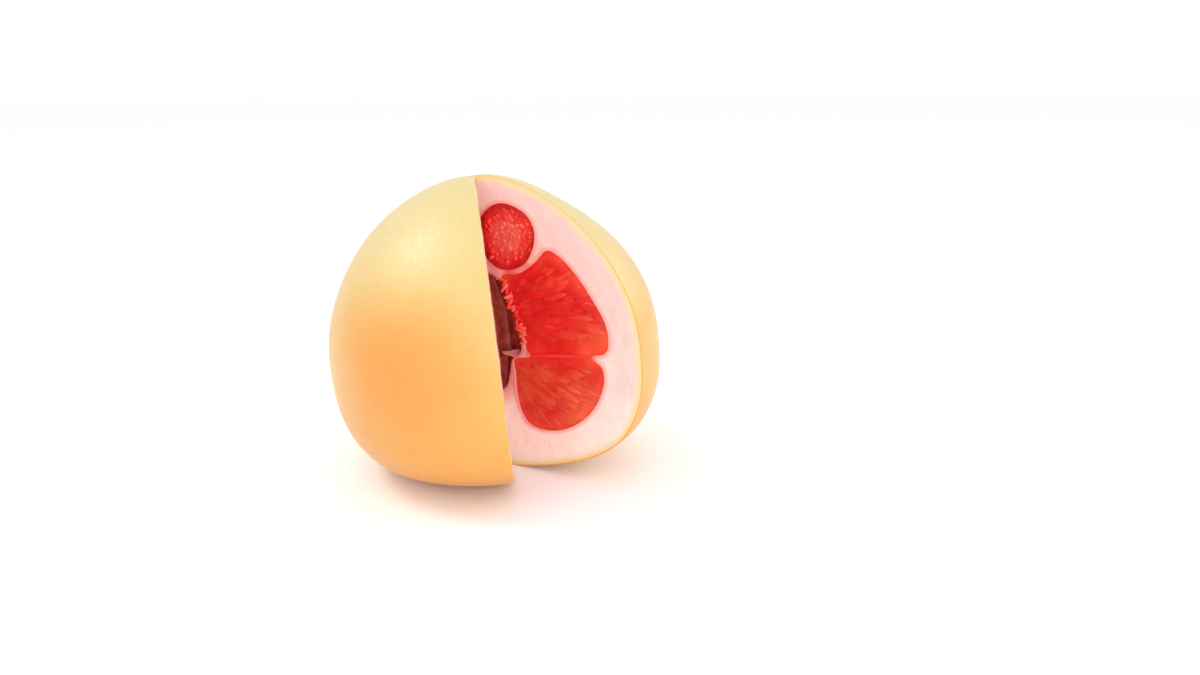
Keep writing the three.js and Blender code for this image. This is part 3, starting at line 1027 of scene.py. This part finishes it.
def sac_tree(form: SacForm = SacForm()) -> PieceTree:
    """Builds the tree that lays juice sacs over a guide surface, along its flow.

    Args:
        form: how a sac is drawn, and how far sacs differ.

    Returns:
        The tree. Its inputs are lengths in metres, a seed and a material.
    """
    tree = PieceTree("juice_sacs", numbers=(*SAC_LENGTHS, *SAC_SHARES), counts=("Seed",))
    seed, variety, length = tree.given("Seed"), tree.given("Variety"), tree.given("Length")
    edge = tree.named("edge", "FLOAT")

    # Points over the guide, all but a margin.
    margin = tree.node("FunctionNodeCompare", {0: edge, 1: tree.given("Edge")},
                       data_type="FLOAT", operation="GREATER_THAN").outputs[0]
    spread = tree.node("GeometryNodeDistributePointsOnFaces",
                       {"Mesh": tree.given("Geometry"), "Selection": margin,
                        "Distance Min": tree.given("Spacing"), "Density Max": form.most_in_square_metre,
                        "Seed": seed},
                       distribute_method="POISSON")
    uneven = tree.times(variety, tree.drawn(-form.depth_spread, form.depth_spread, tree.plus(seed, 2)))
    depth = tree.times(tree.given("Sunk"), tree.less(uneven, 1.0))
    sunk = tree.node("GeometryNodeSetPosition",
                     {"Geometry": spread.outputs["Points"],
                      "Offset": tree.scaled(spread.outputs["Normal"], depth)}).outputs[0]

    # Each sac's heading, a little off the flow, and its size, smaller near the edge.
    wander = tree.node("FunctionNodeRandomValue", {0: (-1.0, -1.0, -1.0), 1: (1.0, 1.0, 1.0), 8: seed},
                       data_type="FLOAT_VECTOR").outputs[0]
    heading = tree.node("ShaderNodeVectorMath", {0: tree.named("flow", "FLOAT_VECTOR"),
                                                 1: tree.scaled(wander, tree.given("Wander"))},
                        operation="ADD").outputs[0]
    along = tree.node("FunctionNodeAlignRotationToVector", {"Vector": heading}, axis="Z")
    facing = tree.node("FunctionNodeAlignRotationToVector",
                       {"Rotation": along.outputs[0], "Vector": spread.outputs["Normal"]},
                       axis="Y", pivot_axis="Z")
    room = tree.math("DIVIDE", edge, tree.times(length, 0.5))
    fit = tree.node("ShaderNodeClamp", {"Value": room, "Min": form.shortest, "Max": 1.0}).outputs[0]
    size = tree.drawn(*form.size_range, tree.plus(seed, 1))
    girth = tree.times(size, tree.plus(form.least_girth, tree.times(fit, 1 - form.least_girth)))
    scale = tree.joined(tree.times(tree.given("Width"), girth), tree.times(tree.given("Thickness"), girth),
                        tree.times(tree.times(length, size), fit))

    # One sac: a ball drawn out and tapered towards one end.
    ball = tree.node("GeometryNodeMeshUVSphere",
                     {"Segments": form.segments, "Rings": form.rings, "Radius": 0.5}).outputs[0]
    point = tree.node("GeometryNodeInputPosition").outputs[0]
    x, y, z = tree.node("ShaderNodeSeparateXYZ", {0: point}).outputs
    taper = tree.less(1.0, tree.times(z, form.taper))
    shaped = tree.joined(tree.times(x, taper), tree.times(y, taper), z)
    sac = tree.node("GeometryNodeSetPosition", {"Geometry": ball, "Position": shaped}).outputs[0]

    placed = tree.node("GeometryNodeInstanceOnPoints",
                       {"Points": sunk, "Instance": sac, "Rotation": facing.outputs[0], "Scale": scale})
    shade = tree.times(variety, tree.drawn(-form.tone_spread, form.tone_spread, tree.plus(seed, 3)))
    # Painted light: a sac's tone rises from the segment's edge towards its middle, lighter there and darker
    # at the edge, as on a lit dome.
    inward = tree.node("ShaderNodeClamp", {"Value": tree.math("DIVIDE", edge, PAINTED_MIDDLE_LIGHT_REACH * MM)})
    middle_painted_light = tree.times(tree.given("Middle_painted_light"), inward.outputs[0])
    toned = tree.node("GeometryNodeStoreNamedAttribute",
                      {"Geometry": placed.outputs[0], "Name": "tone",
                       "Value": tree.plus(tree.given("Tone"), tree.plus(middle_painted_light, shade))},
                      data_type="FLOAT", domain="INSTANCE").outputs[0]
    real = tree.node("GeometryNodeRealizeInstances", {"Geometry": toned}).outputs[0]
    tree.end(tree.node("GeometryNodeSetShadeSmooth", {"Geometry": real}).outputs[0])
    return tree


def ring_tree() -> PieceTree:
    """Builds the tree that repeats one segment round the core.

    Returns:
        The tree. Its inputs are a count, the first angle, the step, the lean, the place and a material.
    """
    tree = PieceTree("segment_ring", numbers=("First", "Step"), counts=("Count",), vectors=("Lean", "Place"))
    line = tree.node("GeometryNodeMeshLine", {"Count": tree.given("Count"), "Offset": (0.0, 0.0, 0.0)})
    index = tree.node("GeometryNodeInputIndex").outputs[0]
    angle = tree.plus(tree.given("First"), tree.times(index, tree.given("Step")))
    rotation = tree.node("FunctionNodeEulerToRotation", {0: tree.joined(0.0, 0.0, angle)}).outputs[0]
    placed = tree.node("GeometryNodeInstanceOnPoints",
                       {"Points": line.outputs[0], "Instance": tree.given("Geometry"), "Rotation": rotation})
    real = tree.node("GeometryNodeRealizeInstances", {"Geometry": placed.outputs[0]}).outputs[0]
    leaned = tree.node("GeometryNodeTransform", {"Geometry": real, "Translation": tree.given("Place"),
                                                 "Rotation": tree.given("Lean")}).outputs[0]
    tree.end(leaned)
    return tree


def dress(piece: bpy.types.Object, material: bpy.types.Material) -> None:
    """Gives a piece one material."""
    piece.data.materials.clear()
    piece.data.materials.append(material)


def keep(piece: bpy.types.Object, slot: str, *nodes: str) -> None:
    """Puts a finished piece on the body, hides the model's parts that it stands for and logs its face count.

    Args:
        piece: the finished piece.
        slot: not used.
        nodes: the model's nodes that it stands for.
    """
    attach(piece, BODY)
    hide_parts(*nodes)
    LOG.info("%s: %d faces", piece.name, len(piece.data.polygons))


def merge_doubles(piece: bpy.types.Object) -> None:
    """Welds points of a piece that lie in one place, and drops faces that have no area.

    Args:
        piece: the piece to mend.
    """
    work = bmesh.new()
    work.from_mesh(piece.data)
    bmesh.ops.remove_doubles(work, verts=work.verts, dist=WELD_WITHIN)
    bmesh.ops.dissolve_degenerate(work, edges=work.edges, dist=WELD_WITHIN / 10)
    work.to_mesh(piece.data)
    work.free()


@dataclass
class Rind:
    """The thin yellow skin, as one closed shell with the cut's rims."""

    fruit: Fruit
    anatomy: Anatomy
    columns: int = 264
    rings: int = 176

    def build(self) -> bpy.types.Object:
        """Builds the shell.

        Returns:
            The piece.
        """
        azimuths = np.linspace(self.fruit.cut_to, 360 + self.fruit.cut_from, self.columns)
        inset = self.anatomy.rind
        outer, inner = (self.fruit.placed(self.fruit.surface(azimuths, self.rings, depth), depth)
                        for depth in (0.0, inset))
        middle = (outer[:, [0, -1]] + inner[:, [0, -1]]) / 2
        points = np.vstack([layer.reshape(-1, 3) for layer in (outer, inner, middle)])
        count = self.rings * self.columns
        number = np.arange(count).reshape(self.rings, self.columns)
        faces = quads(number, flipped=True).tolist() + (quads(number) + count).tolist()
        for edge in (0, 1):
            outside = number[:, -edge]
            between = 2 * count + np.arange(self.rings) * 2 + edge
            for pair in ((outside, between), (between, outside + count)):
                wall = quads(np.column_stack(pair))
                faces += (wall[:, ::-1] if edge else wall).tolist()
        under = np.repeat((0.0, inset, inset / 2), (count, count, 2 * self.rings))
        piece = mesh_object("rind_skin", points, faces, {"under_skin": under})
        merge_doubles(piece)
        dress(piece, RindFinish().material())
        keep(piece, "rind", "rind")
        return piece


@dataclass
class Pith:
    """The pink layer's two cut faces, thinning to membranes between the segments."""

    fruit: Fruit
    anatomy: Anatomy
    material: bpy.types.Material
    spacing: float = 1.05
    depth: float = 5.0
    relief: float = 0.22
    relief_waves: tuple[float, float] = (16.0, 5.0)
    lip: float = 0.4
    lip_reach: float = 1.3
    thin_from: float = 1.7
    thin_fade: float = 1.4
    thin_sunk: float = 0.45
    pink_growth: float = 0.25
    core_edge: float = 0.97
    hollow_rim_darkening: float = 0.6
    hollow_rim_reach: float = 1.2
    past_axis: float = 0.8
    flat_near_rind: float = 2.5
    flat_near_core: float = 2.0
    no_lip_near_rind: float = 4.0
    axis_relief: float = 0.2
    core_points: int = 80
    top_points: int = 44
    bottom_points: int = 34

    def flesh_outlines(self, side: Side) -> list[Points]:
        """Draws the outlines of the flesh on a face.

        Args:
            side: which face.

        Returns:
            The closed outlines.
        """
        a = self.anatomy
        sections = (a.right_main, a.right_lower) if side is Side.RIGHT else (a.left_main,)
        return [a.upper(side, self.fruit, self.spacing), *(a.closed(one, self.spacing) for one in sections)]

    def torn_gap(self) -> Points:
        """Draws the room round the torn inner edge of the right face's main segment.

        Returns:
            The closed outline.
        """
        edge = smooth_path(self.anatomy.torn_edge, 30)
        room = self.anatomy.torn_room
        return np.vstack([edge + (room, 0), edge[::-1] - (room, 0)])

    def face(self, side: Side) -> bpy.types.Object:
        """Builds the pith of one cut face.

        Args:
            side: which face.

        Returns:
            The piece.
        """
        rim = self.fruit.rim(side, self.anatomy.rind)
        core = smooth_path(self.anatomy.core, self.core_points) * self.core_edge
        top = np.linspace(rim[0], core[0], self.top_points)[1:-1]
        bottom = np.linspace(core[-1], rim[-1], self.bottom_points)[1:-1]
        outer = np.vstack([rim[::-1], top, core, bottom])
        outer[:, 0] = np.maximum(outer[:, 0], 0)
        flesh = self.flesh_outlines(side)
        holes = flesh + ([self.torn_gap()] if side is Side.RIGHT else [])
        plate = Plate(self.fruit, side, self.spacing, self.depth, outer, holes)
        uv, triangles = plate.build()
        from_flesh, from_rind, from_core = (distance_to(uv, lines) for lines in (flesh, [rim], [core]))
        each = np.sort(np.column_stack([distance_to(uv, [line]) for line in flesh]), axis=1)
        thin = np.clip(1 - (each[:, 0] + each[:, 1] - self.thin_from) / self.thin_fade, 0, 1)
        long, short = self.relief_waves
        wave = ripple(uv, long, 3) + 0.5 * ripple(uv, short, 4)
        lift = self.relief * wave * np.minimum(1, from_rind / self.flat_near_rind)
        lift *= np.minimum(1, from_core / self.flat_near_core)
        lip = (1 - thin) * self.lip * np.exp(-(from_flesh / self.lip_reach) ** 2)
        lift += lip * np.minimum(1, from_rind / self.no_lip_near_rind)
        at_axis = uv[:, 0] < AT_AXIS
        lift[at_axis] *= self.axis_relief
        uv[at_axis, 0] = -self.past_axis
        points, faces = plate.slab(uv, triangles, lift - self.thin_sunk * thin)
        # The face is mixed towards the core's dark colour within a little of the hollow's edge.
        values = {"from_flesh": np.minimum(from_flesh, PINKEST + self.pink_growth * from_core),
                  "from_rind": from_rind, "thin": thin,
                  "in_core": np.clip(1 - from_core / self.hollow_rim_reach, 0, 1) * self.hollow_rim_darkening}
        doubled = {key: np.tile(value, 2) for key, value in values.items()}
        piece = mesh_object(f"pith_{side.name.lower()}_face", points, faces, doubled)
        dress(piece, self.material)
        keep(piece, "pith", *PITH_NODES)
        return piece

    def build(self) -> None:
        """Builds both faces."""
        for side in Side:
            self.face(side)


@dataclass
class CoreLining:
    """The wall of the hollow core, from behind the torn segment round to the left face."""

    fruit: Fruit
    anatomy: Anatomy
    material: bpy.types.Material
    first: float = 80.0
    before_face: float = 2.0
    wall: float = 2.0
    rows: int = 90
    columns: int = 130
    reach: float = 12.5
    lobes: int = 8
    lobe_zone: tuple[float, float] = (82.0, 335.0)
    lobe_fade: float = 18.0
    lobe_depth: float = 0.11
    lobe_roundness: float = 0.6
    crease_tone: float = 0.35
    pinkness: float = 0.2
    unevenness: float = 0.35

    def layer(self, line: Points, azimuths: Points, reach: float, lobe: Points, within: Points) -> Points:
        """Turns a line about the axis, drawn in over the lobes.

        Args:
            line: distances from the axis and heights.
            azimuths: the angle of each column, in radians.
            reach: how far out the wall may stand where there are lobes.
            lobe: how far the wall stands in, in each column.
            within: how much of that there is, in each column.

        Returns:
            The points in the fruit's own frame.
        """
        out = np.repeat(line[:, 0:1], len(azimuths), axis=1)
        out -= np.maximum(out - reach, 0) * within
        out -= self.lobe_depth * out * lobe * within
        return np.stack([out * np.sin(azimuths), -out * np.cos(azimuths),
                         np.repeat(line[:, 1:2], len(azimuths), axis=1)], axis=-1).reshape(-1, 3)

    def build(self) -> bpy.types.Object:
        """Builds the wall.

        Returns:
            The piece.
        """
        end = 360 + self.fruit.cut_from - self.before_face
        azimuths = np.radians(np.linspace(self.first, end, self.columns))
        low, high = np.radians(self.lobe_zone)
        within = np.clip(np.minimum(azimuths - low, high - azimuths) / math.radians(self.lobe_fade), 0, 1)
        within = within**2 * (3 - 2 * within)
        lobe = np.abs(np.sin((azimuths - low) / (high - low) * self.lobes * math.pi)) ** self.lobe_roundness
        profile = smooth_path(self.anatomy.core, self.rows)
        along = along_outline(profile)
        outward = np.column_stack([-along[:, 1], along[:, 0]])
        outward[[0, -1]] = ((0, 1), (0, -1))
        near, far = (self.layer(profile + outward * depth, azimuths, self.reach + depth, lobe, within)
                     for depth in (0.0, self.wall))
        near = near + (ripple(near, 7, 8) * self.unevenness)[:, None] * -near / 20
        count = self.rows * self.columns
        number = np.arange(count).reshape(self.rows, self.columns)
        faces = quads(number).tolist() + (quads(number, flipped=True) + count).tolist()
        for edge in (0, 1):
            line = number[:, -edge]
            strip = quads(np.column_stack([line, line + count]), flipped=True)
            faces += (strip[:, ::-1] if edge else strip).tolist()
        crease = np.tile((1 - lobe) * within, self.rows)
        values = {"from_flesh": np.full(2 * count, self.pinkness),
                  "from_rind": np.full(2 * count, FAR_FROM_SKIN),
                  "in_core": np.tile(1.0 - self.crease_tone * crease, 2)}
        piece = mesh_object("core_lining", self.fruit.placed(np.vstack([near, far])), faces, values)
        merge_doubles(piece)
        dress(piece, self.material)
        keep(piece, "pith", *PITH_NODES)
        return piece


@dataclass
class TornMembrane:
    """The torn membrane that crosses the hollow core, thin and curling at its free edge."""

    fruit: Fruit
    material: bpy.types.Material
    start: float = 55.8
    end: float = 79.0
    inner: float = 3.2
    outer: float = 19.0
    height: float = -22.1
    thickness: float = 1.9
    free_edge: float = 0.6
    notches: float = 9.0
    notch_depth: float = 2.2
    slant: float = 7.0
    slant_curve: float = 1.4
    sag: float = 1.1
    curl: float = 1.6
    unevenness: float = 0.25
    redness: float = 0.3
    rows: int = 26
    columns: int = 34

    def build(self) -> bpy.types.Object:
        """Builds the membrane.

        Returns:
            The piece.
        """
        share = np.linspace(0, 1, self.rows)[:, None]
        across = np.linspace(0, 1, self.columns)[None, :]
        azimuth = np.radians(self.start + (self.end - self.start) * share)
        notch = self.notch_depth * np.sin(share * self.notches) ** 2
        tear = self.inner + notch + self.slant * share**self.slant_curve
        reach = tear + (self.outer - tear) * across
        sag = self.sag * np.sin(across * math.pi) * (0.4 + share) - self.curl * (1 - across) ** 3
        middle = np.stack([reach * np.sin(azimuth), -reach * np.cos(azimuth), self.height - sag],
                          axis=-1).reshape(-1, 3)
        middle[:, 2] += self.unevenness * ripple(middle, 4, 12)
        thicker = (1 - self.free_edge) * np.repeat(across, self.rows, axis=0).ravel()
        half = self.thickness / 2 * (self.free_edge + thicker)
        upper, lower = middle.copy(), middle.copy()
        upper[:, 2] += half
        lower[:, 2] -= half
        count = self.rows * self.columns
        number = np.arange(count).reshape(self.rows, self.columns)
        faces = quads(number).tolist() + (quads(number, flipped=True) + count).tolist()
        border = np.concatenate([number[0, :-1], number[:-1, -1], number[-1, :0:-1], number[:0:-1, 0]])
        following = np.roll(border, -1)
        faces += np.column_stack([border, border + count, following + count, following]).tolist()
        values = {"from_flesh": np.full(2 * count, PINKEST), "from_rind": np.full(2 * count, FAR_FROM_SKIN),
                  "thin": np.full(2 * count, self.redness)}
        piece = mesh_object("torn_membrane", self.fruit.placed(np.vstack([upper, lower])), faces, values)
        dress(piece, self.material)
        keep(piece, "pith", *PITH_NODES)
        return piece


@dataclass(frozen=True)
class SacSizes:
    """How juice sacs lie on a guide surface, in millimetres."""

    spacing: float = 2.2
    length: float = 17.0
    width: float = 3.6
    thickness: float = 2.8
    sunk: float = 1.25
    edge: float = 0.7
    wander: float = 0.10
    tone: float = 0.55
    # Painted light: how much lighter the sacs grow towards a segment's middle.
    middle_painted_light: float = 0.0
    variety: float = 0.28

    def inputs(self, seed: int, material: bpy.types.Material) -> dict[str, object]:
        """Gives the inputs of the sac tree.

        Args:
            seed: what fixes the draw.
            material: the sacs' material.

        Returns:
            The inputs by name, with lengths in metres.
        """
        lengths = {name: getattr(self, name.lower()) * MM for name in SAC_LENGTHS}
        shares = {name: getattr(self, name.lower()) for name in SAC_SHARES}
        return {**lengths, **shares, "Seed": seed, "Material": material}


LONG_SACS = SacSizes()
LEFT_SACS = replace(LONG_SACS, sunk=1.35)
# The round segment's sacs start dark at its edge and carry the most painted light: painted shade at the edge,
# painted light in its middle.
ROUND_SACS = SacSizes(spacing=1.6, length=4.4, width=3.2, thickness=2.4, sunk=1.1, wander=0.8, tone=-0.08,
                      middle_painted_light=1.7, variety=0.16)
TORN_SACS = SacSizes(spacing=1.55, length=5.6, width=1.9, thickness=1.6, sunk=-0.2, wander=1.05, tone=1.25,
                     variety=1.7)


@dataclass
class Flesh:
    """The red segments that the cut shows, each a bedded slab under a field of juice sacs."""

    fruit: Fruit
    anatomy: Anatomy
    material: bpy.types.Material
    round_material: bpy.types.Material
    sacs: PieceTree
    spacing: float = 1.3
    depth: float = 7.0
    dome: float = 0.5
    dome_reach: float = 3.0
    bed_depth: float = 0.75
    # Painted shade: the bed seen between the sacs is a little darker.
    bed_painted_shade: float = 0.12
    bed_unevenness: float = 0.25
    upper_seed: int = 40
    torn_seed: int = 5
    torn_depths: Band = (-0.5, 6.0)
    torn_aside: float = 0.25
    torn_raggedness: float = 0.9
    torn_slant: float = 0.1
    torn_droop: float = 0.3
    torn_inward: float = 0.45
    torn_rows: int = 24
    torn_columns: int = 7

    def section(self, side: Side, outline: Points, origin: tuple[float, float], seed: int,
                sizes: SacSizes = LONG_SACS) -> list[bpy.types.Object]:
        """Builds one section's slab, and the sacs over it.

        Args:
            side: which face the section is on.
            outline: the section's edge.
            origin: the point of the face that the sacs point at.
            seed: what fixes the sacs' draw.
            sizes: how the sacs lie, whose tone the slab shares.

        Returns:
            The slab and the sacs.
        """
        plate = Plate(self.fruit, side, self.spacing, self.depth, outline)
        uv, triangles = plate.build()
        edge = distance_to(uv, [outline])
        lift = self.dome * (1 - np.exp(-edge / self.dome_reach)) - self.bed_depth
        lift = lift + self.bed_unevenness * ripple(uv, 11, 21)
        points, faces = plate.slab(uv, triangles, lift)
        # The slab takes the same painted light, lighter towards the segment's middle.
        tone = np.tile(sizes.tone - self.bed_painted_shade + sizes.middle_painted_light * np.clip(edge / PAINTED_MIDDLE_LIGHT_REACH, 0, 1), 2)
        slab = mesh_object("flesh_slab", points, faces, {"tone": tone})
        away = uv - np.asarray(origin)
        away /= np.maximum(np.linalg.norm(away, axis=1), 0.5)[:, None]
        front = [face for face in faces if len(face) == 3 and max(face) < len(uv)]
        guide = mesh_object("flesh_guide", points[:len(uv)], front,
                            {"edge": edge * MM, "flow": self.fruit.face_vector(side, away)})
        self.sacs.run(guide, sizes.inputs(seed, self.material))
        return [slab, guide]

    def torn_tips(self) -> bpy.types.Object:
        """Builds the sacs that hang loose from the torn edge into the hollow core.

        Returns:
            The sacs.
        """
        edge = smooth_path(self.anatomy.torn_edge, self.torn_rows)
        aside = self.torn_aside + self.torn_raggedness * ripple(edge, 3.2, 41)
        depths = np.linspace(*self.torn_depths, self.torn_columns)
        outward, behind = axes_at(self.fruit.cut_to)
        points = np.array([(u + shift + self.torn_slant * depth) * outward + depth * behind + (0, 0, v)
                           for (u, v), shift in zip(edge, aside) for depth in depths])
        faces = quads(np.arange(len(points)).reshape(-1, len(depths))).tolist()
        hang = -outward - self.torn_droop * UP - self.torn_inward * behind
        flow = np.tile(hang, (len(points), 1)) @ self.fruit.turn.T
        guide = mesh_object("torn_guide", self.fruit.placed(points), faces,
                            {"edge": np.full(len(points), 1.0), "flow": flow})
        self.sacs.run(guide, TORN_SACS.inputs(self.torn_seed, self.material))
        return guide

    def joined(self, name: str, parts: list[bpy.types.Object], node: str,
               material: bpy.types.Material | None = None) -> bpy.types.Object:
        """Joins parts into one piece of one material.

        Args:
            name: the piece's name.
            parts: the parts, of which the first becomes the piece.
            node: the model's node that it stands for.
            material: its material, where that isn't the long segments'.

        Returns:
            The piece.
        """
        for part in parts:
            dress(part, material or self.material)
        with bpy.context.temp_override(active_object=parts[0], selected_editable_objects=parts):
            bpy.ops.object.join()
        piece = parts[0]
        piece.name = piece.data.name = name
        keep(piece, "pulp", node)
        return piece

    def build(self) -> None:
        """Builds every segment that a cut face shows."""
        a = self.anatomy
        upper: list[bpy.types.Object] = []
        for side, distance in ((Side.LEFT, 4.0), (Side.RIGHT, a.upper_distance)):
            outline = a.upper(side, self.fruit, self.spacing)
            upper += self.section(side, outline, (distance, a.upper_height), self.upper_seed + side.value,
                                  ROUND_SACS)
        self.joined("flesh_upper", upper, "segment_upper", self.round_material)
        main = self.section(Side.RIGHT, a.closed(a.right_main, self.spacing), (0.0, -4.0), 11)
        self.joined("flesh_right_main", [*main, self.torn_tips()], "segment_right_main")
        lower = self.section(Side.RIGHT, a.closed(a.right_lower, self.spacing), (-4.0, -20.0), 12)
        self.joined("flesh_right_lower", lower, "segment_right_lower")
        left = self.section(Side.LEFT, a.closed(a.left_main, self.spacing), (-4.0, -12.0), 13, LEFT_SACS)
        self.joined("flesh_left_main", left, "segment_left_main")


@dataclass
class Ring:
    """The whole segments behind the cut, whose inner edges line the hollow core."""

    fruit: Fruit
    anatomy: Anatomy
    material: bpy.types.Material
    count: int = 8
    behind_face: float = 26.5
    half_share: float = 0.465
    narrowest: float = 0.3
    fullness: float = 3.2
    tone: float = 0.2
    tone_spread: float = 0.3
    unevenness: float = 0.25
    stations: int = 15
    outline_points: int = 110

    def build(self) -> bpy.types.Object:
        """Builds one segment in the fruit's own frame and repeats it round the core.

        Returns:
            The piece.
        """
        start = self.fruit.cut_to + self.behind_face
        end = 360 + self.fruit.cut_from - self.behind_face
        pitch = (end - start) / self.count
        section = smooth_path(self.anatomy.whole, self.outline_points, closed=True)
        middle = section.mean(axis=0)
        rings = []
        for share in np.sin(np.linspace(-math.pi / 2, math.pi / 2, self.stations)):
            scale = max(self.narrowest, (1 - abs(share) ** self.fullness) ** 0.5)
            angle = math.radians(share * pitch * self.half_share)
            ring = middle + (section - middle) * scale
            rings.append(np.column_stack([ring[:, 0] * math.sin(angle), -ring[:, 0] * math.cos(angle),
                                          ring[:, 1]]))
        number = np.arange(self.stations * self.outline_points).reshape(self.stations, -1)
        faces = quads(np.hstack([number, number[:, :1]])).tolist()
        faces += [number[0, ::-1].tolist(), number[-1].tolist()]
        body = np.vstack(rings)
        swell = (ripple(body, 5, 30) * self.unevenness)[:, None]
        body += swell * body / np.linalg.norm(body, axis=1)[:, None]
        tone = self.tone + self.tone_spread * ripple(body, 4, 31)
        piece = mesh_object("flesh_ring", body, faces, {"tone": tone})
        place = (self.fruit.offset + self.fruit.centre_height * UP) * MM
        lean = (math.radians(-self.fruit.lean_back), math.radians(-self.fruit.lean_left), 0.0)
        ring_tree().run(piece, {"Count": self.count, "First": math.radians(start + pitch / 2),
                                "Step": math.radians(pitch), "Lean": lean, "Place": tuple(place),
                                "Material": self.material})
        keep(piece, "pulp", *(f"segment_whole_{number}" for number in range(1, self.count + 1)))
        return piece


@dataclass
class StemEnd:
    """The corky scar where the stem was, in its shallow dimple."""

    fruit: Fruit
    profile: Outline = ((0, 0.35), (1.2, 0.2), (2.2, 0.75), (3.4, 0.85), (4.1, 0.3), (4.3, -0.6), (3.6, -1.3),
                        (0, -1.3))
    sunk: float = 0.2
    notch: float = 0.35
    rows: int = 28
    columns: int = 48

    def build(self) -> bpy.types.Object:
        """Builds the scar as a low, cracked button.

        Returns:
            The piece.
        """
        low, high = (np.array(corner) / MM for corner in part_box("stem_scar"))
        outward = self.fruit.turn @ self.fruit.direction(self.fruit.stem_azimuth, self.fruit.stem_polar)
        centre = (low + high) / 2 - outward * self.sunk
        side = np.cross(outward, (0, 1, 0))
        side /= np.linalg.norm(side)
        other = np.cross(outward, side)
        angle = np.linspace(0, 2 * math.pi, self.columns, endpoint=False)
        spoke = np.cos(angle)[:, None] * side + np.sin(angle)[:, None] * other
        crack = 1 + 0.05 * np.sin(5 * angle + 0.6) + 0.03 * np.sin(11 * angle)
        rings = []
        for radius, height in smooth_path(self.profile, self.rows):
            lobe = height - self.notch * max(0.0, min(1.0, height + 0.4)) * (np.sin(2.5 * angle) ** 8)
            rings.append(centre + (radius * crack)[:, None] * spoke + lobe[:, None] * outward)
        number = np.arange(self.rows * self.columns).reshape(self.rows, self.columns)
        faces = quads(np.hstack([number, number[:, :1]]), flipped=True).tolist()
        piece = mesh_object("stem_end", np.vstack(rings), faces)
        merge_doubles(piece)
        dress(piece, ScarFinish().material())
        keep(piece, "cork", "stem_scar")
        return piece


@dataclass(frozen=True)
class Lamp:
    """One soft square light: its place and side in millimetres, its power in watts."""

    name: str
    place: Place
    size: float
    power: float
    colour: Colour


@dataclass
class Studio:
    """The pale floor, the soft light and the camera."""

    fruit: Fruit
    distance: float = 530.0
    elevation: float = 13.6
    focal_pixels: float = 1075.0
    centre_pixel: tuple[float, float] = (491.6, 311.3)
    sensor: float = 36.0
    floor_reach: float = 4000.0
    floor_white: float = 0.985
    floor_roughness: float = 0.9
    lamps: tuple[Lamp, ...] = (
        Lamp("key", (-760, 120, 1000), 420, 4.0, (1.0, 0.99, 0.97)),
        Lamp("front", (260, -1150, 300), 600, 4.6, (1.0, 0.99, 0.98)),
        Lamp("fill", (-500, -1000, 600), 700, 0.9, (1.0, 1.0, 1.0)),
        Lamp("side", (900, 350, 500), 500, 2.4, (1.0, 0.98, 0.95)),
    )

    def floor(self) -> None:
        """Lays the floor."""
        corners = self.floor_reach * np.array([(-1, -1, 0), (1, -1, 0), (1, 1, 0), (-1, 1, 0)])
        floor = mesh_object("floor", corners, [(0, 1, 2, 3)])
        white = (self.floor_white, self.floor_white, self.floor_white, 1.0)
        dress(floor, Shader("floor").finish(Base_Color=white, Roughness=self.floor_roughness))

    def hang(self, lamp: Lamp) -> None:
        """Hangs one light, aimed at the fruit.

        Args:
            lamp: the light.
        """
        data = bpy.data.lights.new(lamp.name, "AREA")
        data.size = lamp.size * MM
        data.energy = lamp.power
        data.color = lamp.colour
        light = bpy.data.objects.new(lamp.name, data)
        light.location = Vector(lamp.place) * MM
        aim = Vector((0, 0, self.fruit.centre_height * MM)) - light.location
        light.rotation_euler = aim.to_track_quat("-Z", "Y").to_euler()
        bpy.context.scene.collection.objects.link(light)

    def lights(self) -> None:
        """Sets the world and the lights."""
        world = bpy.data.worlds.new("pale")
        bpy.context.scene.world = world
        world.use_nodes = True
        background = world.node_tree.nodes["Background"]
        background.inputs["Color"].default_value = (1.0, 1.0, 1.0, 1.0)
        background.inputs["Strength"].default_value = 1.0
        for lamp in self.lamps:
            self.hang(lamp)
        bpy.context.scene.view_settings.view_transform = "Standard"

    def camera(self) -> None:
        """Stands the camera at the photograph's angle, with the fruit where it is in the frame."""
        data = bpy.data.cameras.new("camera")
        data.sensor_width = self.sensor
        data.lens = self.sensor * self.focal_pixels / IMAGE_WIDTH
        data.clip_start = 0.01
        camera = bpy.data.objects.new("camera", data)
        middle = Vector(self.fruit.offset) + Vector((0, 0, self.fruit.centre_height))
        rise = math.radians(self.elevation)
        camera.location = (middle + Vector((0, -math.cos(rise), math.sin(rise))) * self.distance) * MM
        across = (self.centre_pixel[0] - IMAGE_WIDTH / 2) / self.focal_pixels
        up = (IMAGE_HEIGHT / 2 - self.centre_pixel[1]) / self.focal_pixels
        heading = math.asin(across / math.hypot(1, across, up) / math.cos(rise))
        drop = math.atan2(math.sin(rise), math.cos(rise) * math.cos(heading))
        camera.rotation_euler = (math.pi / 2 - math.atan(up) - drop, 0, heading)
        bpy.context.scene.collection.objects.link(camera)
        bpy.context.scene.camera = camera

    def build(self) -> None:
        """Builds the studio."""
        self.camera()
        self.floor()
        self.lights()


def main() -> None:
    """Builds the studio and every piece in order."""
    logging.basicConfig(level=logging.INFO, format="%(message)s")
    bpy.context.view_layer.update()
    fruit = Fruit()
    anatomy = Anatomy()
    Studio(fruit).build()
    Rind(fruit, anatomy).build()
    pith = PithFinish().material()
    Pith(fruit, anatomy, pith).build()
    CoreLining(fruit, anatomy, pith).build()
    TornMembrane(fruit, pith).build()
    flesh = FleshFinish().material("flesh")
    round_flesh = ROUND_FINISH.material("round_flesh")
    Flesh(fruit, anatomy, flesh, round_flesh, sac_tree()).build()
    Ring(fruit, anatomy, flesh).build()
    StemEnd(fruit).build()
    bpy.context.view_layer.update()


if __name__ == "__main__":
    main()
